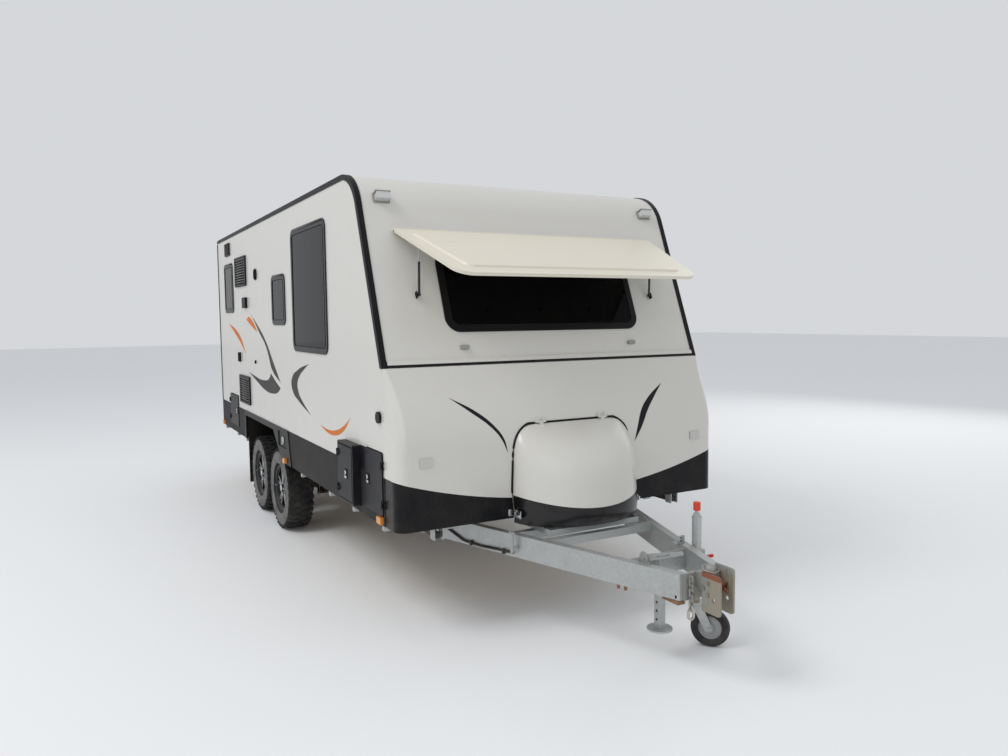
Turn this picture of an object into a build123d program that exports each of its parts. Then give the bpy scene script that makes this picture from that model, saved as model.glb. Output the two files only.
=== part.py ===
"""Tandem-axle travel caravan, standing unhitched on its wheels and jockey wheel.

Millimetres. X runs forward to the coupling, Y to the nearside (kerb side, where the entry door is)
and Z up. Every place below is given from the body's own datum, which lies 330 mm ahead of the
middle of the axle pair and 85 mm above the ground. The finished solids are moved by ORIGIN_SHIFT
and GROUND_Z, so that the origin is on the ground under the middle of the overall length.
"""

import os
from math import cos, radians, sin, sqrt, tan

from build123d import *

# Body shell
BODY_WIDTH = 2450.0
WALL = 35.0
REAR_X = -2660.0
KNEE_X = 2968.0
KNEE_Z = 1548.0
FRONT_TILT = 20.9
ROOF_Z = 2790.0
ROOF_RADIUS = 330.0
REAR_RADIUS = 60.0
SILL_Z = 588.0
FLOOR_THICK = 45.0
SKIRT_TOP = 888.0
SKIRT_THICK = 3.0
SEAM = 0.3
DOOR_GAP = 6.0

# Nose moulding and gas locker
NOSE_DEPTH = 202.0
NOSE_STRAIGHT_TOP = 1030.0
NOSE_SKIN = 10.0
NOSE_BLACK_SIDE_Z = 888.0
NOSE_BLACK_MID_Z = 690.0
GAS_LOW_Z = 560.0
GAS_TOP_Z = 1170.0
GAS_SKIN = 8.0
LID_CLEAR = 3.0
BOTTLE_RADIUS = 152.0
BOTTLE_AHEAD = 95.0
BOTTLE_TOP_Z = 930.0
BOTTLE_SPREAD = 178.0
TRAY_DEPTH = 36.0

# Nose from the sill up: height, how far its front stands ahead of the knee, plan corner radius
NOSE_STATIONS = [
    (588.0, NOSE_DEPTH, 78.0),
    (NOSE_STRAIGHT_TOP, NOSE_DEPTH, 78.0),
    (1195.0, NOSE_DEPTH - 22, 74.0),
    (1360.0, NOSE_DEPTH - 90, 58.0),
    (1548.0, 20.0, 12.0),
]
# Gas locker lid from its foot up: height, half width, how far it stands ahead of the nose
GAS_STATIONS = [
    (GAS_LOW_Z, 450.0, 328.0),
    (700.0, 452.0, 338.0),
    (900.0, 450.0, 290.0),
    (1020.0, 444.0, 215.0),
    (1095.0, 424.0, 135.0),
    (1145.0, 384.0, 62.0),
    (GAS_TOP_Z, 330.0, 12.0),
]

# Chassis and drawbar
RAIL_Y = 800.0
RAIL_WIDTH = 50.0
RAIL_DEPTH = 75.0
BEAM_DEPTH = 140.0
BEAM_WIDTH = 50.0
BEAM_FRONT_X = 4370.0
BEAM_FRONT_Y = 120.0
BEAM_SLOPE = 0.33
BEAM_REAR_X = 2150.0
CHEEK_FRONT_X = 4560.0
CHEEK_LENGTH = 100.0
CHEEK_THICK = 12.0
CHEEK_GAP = 78.0
CHEEK_LOW_Z = 325.0
CHEEK_HIGH_Z = 530.0
CHEEK_STEP = 32.0
COUPLER_DOME = 32.0
LINK_WIRE = 8.0
LINK_LENGTH = 46.0
LINK_WIDTH = 28.0
LINK_COUNT = 6
CHAIN_Y = 95.0
CHAIN_EYE = 8.0
# length, width and wire of the chains' shackles
SHACKLE = (66.0, 46.0, 10.0)
TOW_PIN_RADIUS = 12.5
TOW_PIN_Z = 400.0

# Running gear, with the level of the ground and the middle of the axle pair
GROUND_Z = -85.0
AXLE_PAIR_X = -330.0
AXLE_SPACING = 840.0
TYRE_RADIUS = 375.0
TYRE_WIDTH = 240.0
RIM_RADIUS = 208.0
RIM_SPOKES = 5
TRACK_OUTER = 1212.0
AXLE_BEAM = 50.0
STUB_RADIUS = 22.0
SHAFT_CLEARANCE = 0.3
SPRING_WIDTH = 60.0
LEAF_THICK = 8.0
DRUM_RADIUS = 135.0

# Jockey wheel and drop stand
JOCKEY_X = 4000.0
JOCKEY_Y = 308.0
JOCKEY_TUBE_RADIUS = 27.0
JOCKEY_STEM_RADIUS = 21.0
JOCKEY_TOP_Z = 672.0
JOCKEY_TUBE_LOW_Z = 330.0
JOCKEY_CLAMP_Z = (426.0, 486.0)
JOCKEY_WHEEL_RADIUS = 112.0
JOCKEY_WHEEL_WIDTH = 62.0
JOCKEY_TRAIL = 82.0
JOCKEY_TURN = 39.0
JOCKEY_LIFT = 120.0
STAND_X = 4045.0
STAND_FOOT_RADIUS = 72.0
STAND_FOOT_Z = 85.0
STAND_LEG = 44.0

# Window shield over the front window
SHIELD_HINGE_UP = 907.0
SHIELD_STANDOFF = 38.0
SHIELD_LENGTH = 750.0
SHIELD_HINGE_HALF = 1020.0
SHIELD_EDGE_HALF = 890.0
SHIELD_REST = 24.0
STRUT_Y = 915.0
STRUT_LOW_UP = 472.0
STRUT_STANDOFF = 17.0
STRUT_REACH = 170.0
STRUT_DROP = 20.0
STRUT_TUBE_RADIUS = 7.5

# Entry step: half length and the underside of the tread
STEP_HALF = 240.0
STEP_LOW_Z = 470.0

# Entry, lockers and hatches: edges along X and Z
ENTRY_X = (-2030.0, -1400.0)
ENTRY_Z = (648.0, 2370.0)
BOOT_X = (2640.0, 2950.0)
BOOT_Z = (640.0, 1040.0)
BOX_X = (2210.0, 2530.0)
BOX_Z = (630.0, 1030.0)
BOX_PROUD = 58.0
HATCH_X = (-2100.0, -1630.0)
HATCH_Z = (660.0, 1015.0)
LID_THICK = 26.0
DOOR_PROUD = 10.0
KNUCKLE = 6.0

# Wheel arch
ARCH_REAR_X = -1274.0
ARCH_FRONT_X = 606.0
ARCH_FOOT_X = 700.0
ARCH_MOUTH_TOP_X = 60.0
ARCH_MOUTH_FOOT_X = 375.0
ARCH_LIP = 48.0
POCKET = (262.0, 560.0, 722.0, 858.0)
POCKET_DEPTH = 8.0
LINER_FRONT_X = 520.0
LINER_INNER_Y = 930.0
LINER_TOP_Z = 872.0
LINER_THICK = 4.0
FLARE_THICK = 12.0

# Awning, roof kit and rear
AWNING_RADIUS = 45.0
AWNING_X = (-2420.0, 1980.0)
AWNING_Z = 2560.0
BUMPER_X = -2900.0
SPARE_Z = 965.0
SPARE_GAP = 14.0
ROOF_SPLIT_X = 2200.0
ROOF_CURVE_LOW_Z = 2575.0
HATCHES_X = (1250.0, -1950.0)
HATCH_SIZE = 420.0
MOULD_FACE = 30.0
MOULD_PROUD = 6.0
FRAME_FLANGE = 22.0
FRAME_PROUD = 9.0
PANE_THICK = 8.0
GAS_HINGES_Y = (-240.0, 240.0)
KNUCKLE_LENGTH = 24.0
CROSS_MEMBERS = (-2600, -1850, -1350, 0, 940, 1750, 2300, 2880)
STEADY_PIVOT_Z = 520.0
STEADY_LEG = 540.0

# Fittings on the offside drawbar beam
HAND_BRAKE_X = 4120.0
TAP_X = 3300.0
HOSE_RADIUS = 8.0

HALF = BODY_WIDTH / 2
INNER = HALF - WALL
FLOOR_TOP = SILL_Z + FLOOR_THICK
NOSE_X = KNEE_X + NOSE_DEPTH
TILT = radians(FRONT_TILT)
RAIL_TOP = SILL_Z
RAIL_LOW = RAIL_TOP - RAIL_DEPTH
BEAM_TOP = RAIL_LOW
BEAM_LOW = BEAM_TOP - BEAM_DEPTH
AXLES_X = (AXLE_PAIR_X + AXLE_SPACING / 2, AXLE_PAIR_X - AXLE_SPACING / 2)
HUB_Z = GROUND_Z + TYRE_RADIUS
JOCKEY_AXLE_Z = GROUND_Z + JOCKEY_WHEEL_RADIUS
JOCKEY_FORK_Z = GROUND_Z + 2 * JOCKEY_WHEEL_RADIUS + 34
GAS_HINGE_X = KNEE_X + NOSE_DEPTH - 4
GAS_HINGE_Z = GAS_TOP_Z + 12
CHAIN_X = BEAM_FRONT_X + 29
CHAIN_EYE_Z = BEAM_TOP - 23
SPARE_X = BUMPER_X - SPARE_GAP
REARMOST_X = SPARE_X - TYRE_WIDTH
ORIGIN_SHIFT = -(CHEEK_FRONT_X + REARMOST_X) / 2

# Windows of each side wall: x0, x1, z0, z1, corner radius
OFFSIDE_WINDOWS = [
    (890.0, 1870.0, 1590.0, 2570.0, 80.0),
    (150.0, 640.0, 1800.0, 2240.0, 70.0),
    (-2230.0, -1720.0, 1930.0, 2480.0, 60.0),
]
NEARSIDE_WINDOWS = [
    (1290.0, 1890.0, 1700.0, 2300.0, 70.0),
    (-240.0, 760.0, 1650.0, 2300.0, 80.0),
]
# Front window in its own tilted plane: half width, low and high edge above the knee, radius
FRONT_WINDOW = (760.0, 222.0, 792.0, 100.0)
# Refrigerator vents in the offside wall: x0, x1, z0, z1
FRIDGE_VENTS = [
    (-1550.0, -980.0, 2200.0, 2510.0),
    (-1480.0, -950.0, 965.0, 1260.0),
]


def slab(x0, x1, y0, y1, z0, z1):
    """A block between two corners."""
    middle = Pos((x0 + x1) / 2, (y0 + y1) / 2, (z0 + z1) / 2)
    return middle * Box(abs(x1 - x0), abs(y1 - y0), abs(z1 - z0))


def across(sketch, y0, y1):
    """A sketch drawn in X and Z, made solid from y0 to y1."""
    low, high = min(y0, y1), max(y0, y1)
    return extrude(Plane.XZ.offset(-high) * sketch, amount=high - low)


def upward(sketch, z0, z1):
    """A sketch drawn in X and Y, made solid from z0 to z1."""
    return extrude(Plane.XY.offset(z0) * sketch, amount=z1 - z0)


def rounded(x0, x1, z0, z1, radius):
    """A rectangle with round corners, between two edges each way."""
    place = Pos((x0 + x1) / 2, (z0 + z1) / 2)
    return place * RectangleRounded(x1 - x0, z1 - z0, radius)


def drawn_in(x0, x1, z0, z1, radius, inset):
    """A rectangle with round corners, drawn in by the same distance all round."""
    return rounded(x0 + inset, x1 - inset, z0 + inset, z1 - inset, radius - inset)


def rod(start, end, radius):
    """A round bar between two points."""
    a, b = Vector(*start), Vector(*end)
    along = Plane(origin=a, z_dir=b - a)
    return extrude(along * Circle(radius), amount=(b - a).length)


def front_plane(lift=0.0):
    """The tilted front wall's outer face. Local x is Y and local y goes up the wall."""
    normal = Vector(cos(TILT), 0, sin(TILT))
    return Plane(
        origin=Vector(KNEE_X, 0, KNEE_Z) + normal * lift,
        x_dir=(0, 1, 0),
        z_dir=normal,
    )


def body_outline():
    """Side view of the body in X and Z."""
    run = (ROOF_Z - KNEE_Z) * tan(TILT)
    corner = (KNEE_X - run, ROOF_Z)
    points = [
        (REAR_X, SILL_Z),
        (KNEE_X, SILL_Z),
        (KNEE_X, KNEE_Z),
        corner,
        (REAR_X, ROOF_Z),
    ]
    flat = Polygon(*points, align=None)
    front = flat.vertices().sort_by_distance(corner)[0]
    flat = fillet(front, ROOF_RADIUS)
    back = flat.vertices().sort_by_distance((REAR_X, ROOF_Z))[0]
    return fillet(back, REAR_RADIUS)


def arch_opening():
    """The part of the side wall that is cut away round the wheels."""
    return Pos((ARCH_REAR_X + LINER_FRONT_X) / 2, (SILL_Z + LINER_TOP_Z) / 2) * Rectangle(
        LINER_FRONT_X - ARCH_REAR_X, LINER_TOP_Z - SILL_Z + 0.02
    )


def side_wall(side):
    """Sandwich wall with every window, door, vent and wheel opening cut through."""
    face = body_outline() - arch_opening()
    windows = OFFSIDE_WINDOWS if side < 0 else NEARSIDE_WINDOWS
    for x0, x1, z0, z1, radius in windows:
        face -= drawn_in(x0, x1, z0, z1, radius, FRAME_FLANGE)
    face -= rounded(*BOOT_X, *BOOT_Z, 20)
    if side < 0:
        for x0, x1, z0, z1 in FRIDGE_VENTS:
            face -= rounded(x0 + 20, x1 - 20, z0 + 20, z1 - 20, 8)
        face -= rounded(*HATCH_X, *HATCH_Z, 20)
        face -= rounded(BOX_X[0] + 15, BOX_X[1] - 15, BOX_Z[0] + 15, BOX_Z[1] - 15, 10)
    else:
        face -= rounded(*ENTRY_X, *ENTRY_Z, 40)
    return across(face, side * INNER, side * HALF)


def shell_ring():
    """The roof, front and rear skins seen from the side."""
    outline = body_outline()
    return outline - offset(outline, -WALL)


def region(x0, x1, z0, z1):
    """A plain rectangle in X and Z."""
    return Pos((x0 + x1) / 2, (z0 + z1) / 2) * Rectangle(x1 - x0, z1 - z0)


def roof_panel():
    """Roof from the rear wall to where the front curve starts, with its hatch openings."""
    face = shell_ring() & region(REAR_X + WALL, ROOF_SPLIT_X, ROOF_Z - WALL - 1, ROOF_Z + 1)
    roof = across(face, -INNER + SEAM, INNER - SEAM)
    for x in HATCHES_X:
        roof -= Pos(x, 0, ROOF_Z - WALL / 2) * Box(HATCH_SIZE - 60, HATCH_SIZE - 60, WALL * 3)
    return roof


def front_panel():
    """Curved and tilted front wall down to the knee and the upright wall under it, in one piece."""
    face = shell_ring() & region(ROOF_SPLIT_X, KNEE_X + 1, FLOOR_TOP, ROOF_Z + 1)
    wall = across(face, -INNER + SEAM, INNER - SEAM)
    half, low, high, radius = FRONT_WINDOW
    hole = front_plane(-WALL * 2) * drawn_in(-half, half, low, high, radius, FRAME_FLANGE)
    return wall - extrude(hole, amount=WALL * 4)


def rear_wall():
    """Flat rear wall between the side walls."""
    face = shell_ring() & region(REAR_X - 1, REAR_X + WALL, SILL_Z, ROOF_Z + 1)
    return across(face, -INNER + SEAM, INNER - SEAM)


def floor_deck():
    """Floor panel, cut back round the two wheel boxes."""
    deck = slab(REAR_X + WALL, KNEE_X, -INNER + SEAM, INNER - SEAM, SILL_Z, FLOOR_TOP)
    for side in (-1, 1):
        deck -= slab(
            ARCH_REAR_X, LINER_FRONT_X, side * LINER_INNER_Y, side * HALF, SILL_Z - 1, FLOOR_TOP + 1
        )
    return deck


def nose_section(z, ahead, corner, inset):
    """Plan of the nose moulding at one height, as a face."""
    half = HALF - inset
    front = KNEE_X + ahead - inset
    flat = Polygon((KNEE_X, -half), (front, -half), (front, half), (KNEE_X, half), align=None)
    ends = [v for v in flat.vertices() if v.X > KNEE_X + 1]
    flat = fillet(ends, max(corner - inset, 4))
    return Plane.XY.offset(z) * flat


def nose_block(inset):
    """The nose moulding's outer or inner form, lofted up from the sill to the knee."""
    faces = [nose_section(*row, inset) for row in NOSE_STATIONS]
    return loft(faces[:2]) + loft(faces[1:])


def nose_ahead(z):
    """How far the nose's front stands ahead of the knee at one height."""
    for low, high in zip(NOSE_STATIONS[:-1], NOSE_STATIONS[1:]):
        if z <= high[0]:
            part = max(z - low[0], 0) / (high[0] - low[0])
            return low[1] + (high[1] - low[1]) * part
    return NOSE_STATIONS[-1][1]


def black_boundary():
    """A tall sheet-like solid under the line where the nose turns from white to black."""
    sag = NOSE_BLACK_SIDE_Z - NOSE_BLACK_MID_Z
    radius = (HALF**2 + sag**2) / (2 * sag)
    band = Pos(0, NOSE_BLACK_MID_Z + radius) * Circle(radius)
    low = Rectangle(BODY_WIDTH * 2, 2 * NOSE_BLACK_SIDE_Z)
    under = low - band
    return extrude(Plane.YZ.offset(KNEE_X - 5) * under, amount=NOSE_DEPTH + 50)


def nose_shell():
    """Whole nose moulding before it is split by colour, open behind and under, cut for the gas locker."""
    block = nose_block(0)
    hollow = nose_block(NOSE_SKIN)
    shell = block - hollow
    return shell - gas_form(DOOR_GAP)


def nose_parts():
    """White upper and black lower part of the nose moulding."""
    shell = nose_shell()
    under = black_boundary()
    return shell - under, shell & under


def gas_section(z, half, ahead, grow):
    """Plan of the gas locker lid at one height: straight flanks and a bowed front."""
    back = KNEE_X + 40
    base = KNEE_X + nose_ahead(z)
    side = half + grow
    bow = EllipticalCenterArc((base, 0), ahead + grow, side, start_angle=-90, arc_size=180)
    edges = [
        Line((back, -side), bow @ 0),
        bow,
        Line(bow @ 1, (back, side)),
        Line((back, side), (back, -side)),
    ]
    return Plane.XY.offset(z) * make_face(Curve() + edges)


def gas_form(grow):
    """Solid form of the gas locker lid, grown or shrunk by a clearance, open at its foot."""
    faces = []
    for z, half, ahead in GAS_STATIONS:
        level = z
        if z == GAS_TOP_Z:
            level += grow
        elif z == GAS_LOW_Z:
            level -= abs(grow)
        faces.append(gas_section(level, half, ahead, grow))
    return loft(faces)


def gas_lid():
    """Moulded lid that hinges up at its top seam over the two gas bottles."""
    lid = gas_form(0) - gas_form(-GAS_SKIN) - nose_block(-LID_CLEAR)
    lid -= slab(KNEE_X, NOSE_X + LID_CLEAR, -HALF, HALF, GAS_LOW_Z - 5, SILL_Z + 5)
    x, z = GAS_HINGE_X, GAS_HINGE_Z
    for y in GAS_HINGES_Y:
        lid += rod((x, y - 15, z), (x, y + 15, z), KNUCKLE)
        lid += slab(x, x + 5, y - 15, y + 15, z - 28, z)
    return lid


def gas_hinges():
    """Fixed knuckles of the gas locker lid, on the face of the nose above its seam."""
    parts = []
    x, z = GAS_HINGE_X, GAS_HINGE_Z
    for y in GAS_HINGES_Y:
        for end in (-1, 1):
            near, far = y + end * 15.5, y + end * 34
            low, high = min(near, far), max(near, far)
            knuckle = rod((x, low, z), (x, high, z), KNUCKLE)
            knuckle += slab(KNEE_X + 100, x, low, high, z, z + KNUCKLE)
            knuckle += slab(KNEE_X + 100, x - KNUCKLE, low, high, z, z + 26)
            parts.extend((knuckle - nose_block(0)).solids())
    return parts


def lower_cladding():
    """Dark sheets along the foot of both side walls."""
    parts = []
    for side in (-1, 1):
        foot = Polygon(
            (ARCH_FOOT_X + SEAM, SILL_Z),
            (KNEE_X, SILL_Z),
            (KNEE_X, SKIRT_TOP),
            (ARCH_FRONT_X + SEAM, SKIRT_TOP),
            align=None,
        )
        tail = region(REAR_X, ARCH_REAR_X - SEAM, SILL_Z, SKIRT_TOP)
        foot -= rounded(*BOOT_X, *BOOT_Z, 20)
        if side < 0:
            foot -= region(BOX_X[0] - 1, BOX_X[1] + 1, BOX_Z[0] - 1, BOX_Z[1] + 1)
            tail -= rounded(*HATCH_X, *HATCH_Z, 20)
        else:
            tail -= rounded(*ENTRY_X, *ENTRY_Z, 40)
        for piece in (foot, tail):
            parts.append(across(piece, side * HALF, side * (HALF + SKIRT_THICK)))
    return Compound(children=parts)


def wheel_arches():
    """Liner box over each pair of wheels, the flare round its opening and the mudflap behind."""
    parts = []
    for side in (-1, 1):
        outer = slab(
            ARCH_REAR_X, LINER_FRONT_X, side * LINER_INNER_Y, side * HALF, SILL_Z, LINER_TOP_Z
        )
        inner = slab(
            ARCH_REAR_X + LINER_THICK,
            LINER_FRONT_X - LINER_THICK,
            side * (LINER_INNER_Y + LINER_THICK),
            side * (HALF + 1),
            SILL_Z - 1,
            LINER_TOP_Z - LINER_THICK,
        )
        around = Polygon(
            (ARCH_REAR_X, SILL_Z),
            (ARCH_FOOT_X, SILL_Z),
            (ARCH_FRONT_X, SKIRT_TOP),
            (ARCH_REAR_X, SKIRT_TOP),
            align=None,
        )
        mouth = Polygon(
            (ARCH_REAR_X + 60, SILL_Z - 1),
            (ARCH_MOUTH_FOOT_X, SILL_Z - 1),
            (ARCH_MOUTH_TOP_X, SKIRT_TOP - ARCH_LIP),
            (ARCH_REAR_X + 60, SKIRT_TOP - ARCH_LIP),
            align=None,
        )
        face = side * (HALF + FLARE_THICK)
        flare = across(around - mouth, side * HALF, face)
        flare -= across(rounded(*POCKET, 14), face - side * POCKET_DEPTH, face + side)
        parts.append(outer - inner + flare)
        flap = slab(-1226, -1220, side * 950, side * 1212, 115, LINER_TOP_Z - LINER_THICK - SEAM)
        parts.append(flap)
    return Compound(children=parts)


def edge_mouldings():
    """Dark corner extrusion along the roof edge, round the curve and down the front, by lengths."""
    outline = body_outline()
    outer = offset(outline, MOULD_PROUD)
    cap = outer - outline
    face = outer - offset(outline, -MOULD_FACE)
    lengths = [
        region(REAR_X - 20, ROOF_SPLIT_X - SEAM, ROOF_Z - MOULD_FACE, ROOF_Z + 20),
        region(ROOF_SPLIT_X, KNEE_X, ROOF_CURVE_LOW_Z, ROOF_Z + 20),
        region(ROOF_SPLIT_X, KNEE_X + 20, KNEE_Z, ROOF_CURVE_LOW_Z - SEAM),
    ]
    parts = []
    for side in (-1, 1):
        for keep in lengths:
            top = across(cap & keep, side * (HALF - MOULD_FACE), side * (HALF + MOULD_PROUD))
            parts.append(top + across(face & keep, side * HALF, side * (HALF + MOULD_PROUD)))
    edge = HALF - MOULD_FACE - SEAM
    strip = front_plane() * rounded(-edge, edge, 2, 42, 4)
    parts.append(extrude(strip, amount=12))
    return Compound(children=parts)


def side_windows():
    """Frames and tinted panes of both side walls."""
    frames, panes = [], []
    for side, table in ((-1, OFFSIDE_WINDOWS), (1, NEARSIDE_WINDOWS)):
        for row in table:
            tight = drawn_in(*row, 2 * FRAME_FLANGE)
            slim = drawn_in(*row, FRAME_FLANGE + SEAM)
            flange = across(rounded(*row) - tight, side * HALF, side * (HALF + FRAME_PROUD))
            liner = across(slim - tight, side * (INNER - 4), side * HALF)
            frames.append(flange + liner)
            panes.append(across(tight, side * (HALF - 2), side * (HALF - 2 + PANE_THICK)))
    return frames, panes


def front_window():
    """Frame and pane of the front window, in the tilted wall."""
    half, low, high, radius = FRONT_WINDOW
    row = (-half, half, low, high, radius)
    tight = drawn_in(*row, 2 * FRAME_FLANGE)
    slim = drawn_in(*row, FRAME_FLANGE + SEAM)
    flange = extrude(front_plane() * (rounded(*row) - tight), amount=FRAME_PROUD)
    liner = extrude(front_plane(-WALL - 4) * (slim - tight), amount=WALL + 4)
    pane = extrude(front_plane(-2) * tight, amount=PANE_THICK)
    return flange + liner, pane


def louvre_panel(x0, x1, z0, z1):
    """A framed vent with slanted slats, on the offside wall."""
    rim = across(
        rounded(x0, x1, z0, z1, 18) - rounded(x0 + 32, x1 - 32, z0 + 24, z1 - 24, 6),
        -HALF,
        -HALF - 16,
    )
    slats = []
    count = int((z1 - z0 - 48) // 24)
    pitch = (z1 - z0 - 48) / count
    for i in range(count):
        z = z0 + 24 + pitch * (i + 0.5)
        slat = Pos((x0 + x1) / 2, -HALF - 8, z) * Rot(-38, 0, 0) * Box(x1 - x0 - 63, 17, 3.5)
        slats.append(slat)
    return rim + slats


def wall_fittings():
    """Small dark fittings on the walls: vents, boxes, inlet and the front catches."""
    parts = []
    # x0, x1, z0, z1, how proud, radius
    offside = [
        (-2120.0, -1850.0, 2570.0, 2710.0, 14.0, 12.0),
        (-1140.0, -980.0, 1970.0, 2080.0, 26.0, 10.0),
    ]
    for x0, x1, z0, z1, proud, radius in offside:
        parts.append(across(rounded(x0, x1, z0, z1, radius), -HALF, -HALF - proud))
    parts.append(rod((-530, -HALF, 2290), (-530, -HALF - 12, 2290), 55))
    parts.append(rod((2900, -HALF, 1250), (2900, -HALF - 16, 1250), 36))
    for y in (-660, 660):
        parts.append(extrude(front_plane() * (Pos(y, 118) * RectangleRounded(60, 26, 6)), amount=18))
    for name in HINGES:
        parts.extend(knuckles(name, True))
    for row in FRIDGE_VENTS:
        parts.append(louvre_panel(*row))
    parts.extend(gas_hinges())
    parts.extend(shield_hinge())
    return Compound(children=parts)


def road_lamps():
    """Clear lamps on the front, amber lamps along the sides and the upright clusters behind."""
    parts = []
    for y in (-1060, 1060):
        base = front_plane() * (Pos(y, 1142) * RectangleRounded(92, 46, 8))
        parts.append(extrude(base, amount=52))
    for y in (-1040, 1040):
        parts.append(slab(NOSE_X + SEAM, NOSE_X + 9, y - 42, y + 42, 966, 1021))
    # place along X, thickness of what the lamp sits on
    for x, base in ((2905, SKIRT_THICK), (520, FLARE_THICK), (-2560, SKIRT_THICK)):
        for side in (-1, 1):
            parts.append(
                slab(x - 35, x + 35, side * (HALF + base), side * (HALF + base + 22), 598, 640)
            )
    for side in (-1, 1):
        tall = Pos(side * 1060, 900) * RectangleRounded(110, 320, 20)
        parts.append(extrude(Plane.YZ.offset(REAR_X - 34) * tall, amount=34))
        small = Pos(side * 1060, 2640) * RectangleRounded(90, 34, 8)
        parts.append(extrude(Plane.YZ.offset(REAR_X - 22) * small, amount=22))
    return Compound(children=parts)


def locker_box():
    """Shallow box standing proud of the offside wall, open in front for its door."""
    outer = rounded(BOX_X[0], BOX_X[1], BOX_Z[0], BOX_Z[1], 12)
    inner = rounded(BOX_X[0] + 15, BOX_X[1] - 15, BOX_Z[0] + 15, BOX_Z[1] - 15, 8)
    return across(outer - inner, -HALF, -HALF - BOX_PROUD)


# Side-hung doors: side, hinge line x, direction from it to the leaf, how proud the leaf's face is,
# how proud the surface beside it is, width of the fixed hinge plate, hinge heights
HINGES = {
    "boot_door_offside": (-1, BOOT_X[1], -1, DOOR_PROUD, SKIRT_THICK, 16, (720, 960)),
    "boot_door_nearside": (1, BOOT_X[1], -1, DOOR_PROUD, SKIRT_THICK, 16, (720, 960)),
    "service_hatch": (-1, HATCH_X[0], 1, DOOR_PROUD, SKIRT_THICK, 30, (740, 935)),
    "locker_door": (-1, BOX_X[0] + 15, 1, BOX_PROUD + 2, BOX_PROUD, 14, (710, 950)),
    "entry_door": (1, ENTRY_X[1], -1, DOOR_PROUD, 0, 30, (1000, 1500, 2100)),
}


def knuckles(name, fixed):
    """Hinge knuckles and plates of one door: the fixed ones on the body or the leaf's own."""
    side, x, toward, proud, base, plate, heights = HINGES[name]
    y = side * (HALF + proud + KNUCKLE)
    parts = []
    for z in heights:
        if fixed:
            for end in (-1, 1):
                z0 = z + end * (KNUCKLE_LENGTH / 2 + 0.5)
                z1 = z0 + end * KNUCKLE_LENGTH / 2
                low, high = min(z0, z1), max(z0, z1)
                knuckle = rod((x, y, low), (x, y, high), KNUCKLE)
                knuckle += slab(x, x - toward * plate, side * (HALF + base), y, low, high)
                parts.append(knuckle)
        else:
            low, high = z - KNUCKLE_LENGTH / 2, z + KNUCKLE_LENGTH / 2
            knuckle = rod((x, y, low), (x, y, high), KNUCKLE)
            knuckle += slab(x, x + toward * 30, side * (HALF + proud), y, low, high)
            parts.append(knuckle)
    return parts


def leaf(name, span_x, span_z, radius, thick):
    """One side-hung door leaf with its own knuckles."""
    side, proud = HINGES[name][0], HINGES[name][3]
    sheet = rounded(
        span_x[0] + DOOR_GAP,
        span_x[1] - DOOR_GAP,
        span_z[0] + DOOR_GAP,
        span_z[1] - DOOR_GAP,
        max(radius - DOOR_GAP, 4),
    )
    panel = across(sheet, side * (HALF + proud), side * (HALF + proud - thick))
    for knuckle in knuckles(name, False):
        panel += knuckle
    return panel


def boot_door(name):
    """Tunnel boot door, hinged at its front edge."""
    return leaf(name, BOOT_X, BOOT_Z, 20, LID_THICK)


def service_hatch():
    """Small hatch low on the offside wall, hinged at its rear edge."""
    return leaf("service_hatch", HATCH_X, HATCH_Z, 20, LID_THICK)


def locker_door():
    """Door in the face of the locker box, hinged at its rear edge."""
    span_x = (BOX_X[0] + 15, BOX_X[1] - 15)
    span_z = (BOX_Z[0] + 15, BOX_Z[1] - 15)
    return leaf("locker_door", span_x, span_z, 12, 14)


def entry_door():
    """Entry door leaf with its window opening and handle, hinged at its forward edge."""
    panel = leaf("entry_door", ENTRY_X, ENTRY_Z, 40, LID_THICK)
    middle = sum(ENTRY_X) / 2
    panel -= across(rounded(middle - 170, middle + 170, 1650, 2200, 40), HALF - 40, HALF + 20)
    grip = rounded(ENTRY_X[0] + 40, ENTRY_X[0] + 100, 1180, 1330, 12)
    return panel + across(grip, HALF + DOOR_PROUD, HALF + DOOR_PROUD + 24)


def entry_window():
    """Tinted pane of the entry door."""
    middle = sum(ENTRY_X) / 2
    sheet = rounded(middle - 170 + SEAM, middle + 170 - SEAM, 1650 + SEAM, 2200 - SEAM, 40)
    return across(sheet, HALF - 6, HALF + 4)


def beam_y(x):
    """Distance of a drawbar beam's middle from the centreline at x."""
    return BEAM_FRONT_Y + BEAM_SLOPE * (BEAM_FRONT_X - x)


def beam_face(x):
    """Distance of a drawbar beam's outer face from the centreline at x."""
    return beam_y(x) + BEAM_WIDTH / 2 * sqrt(1 + BEAM_SLOPE**2)


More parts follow.
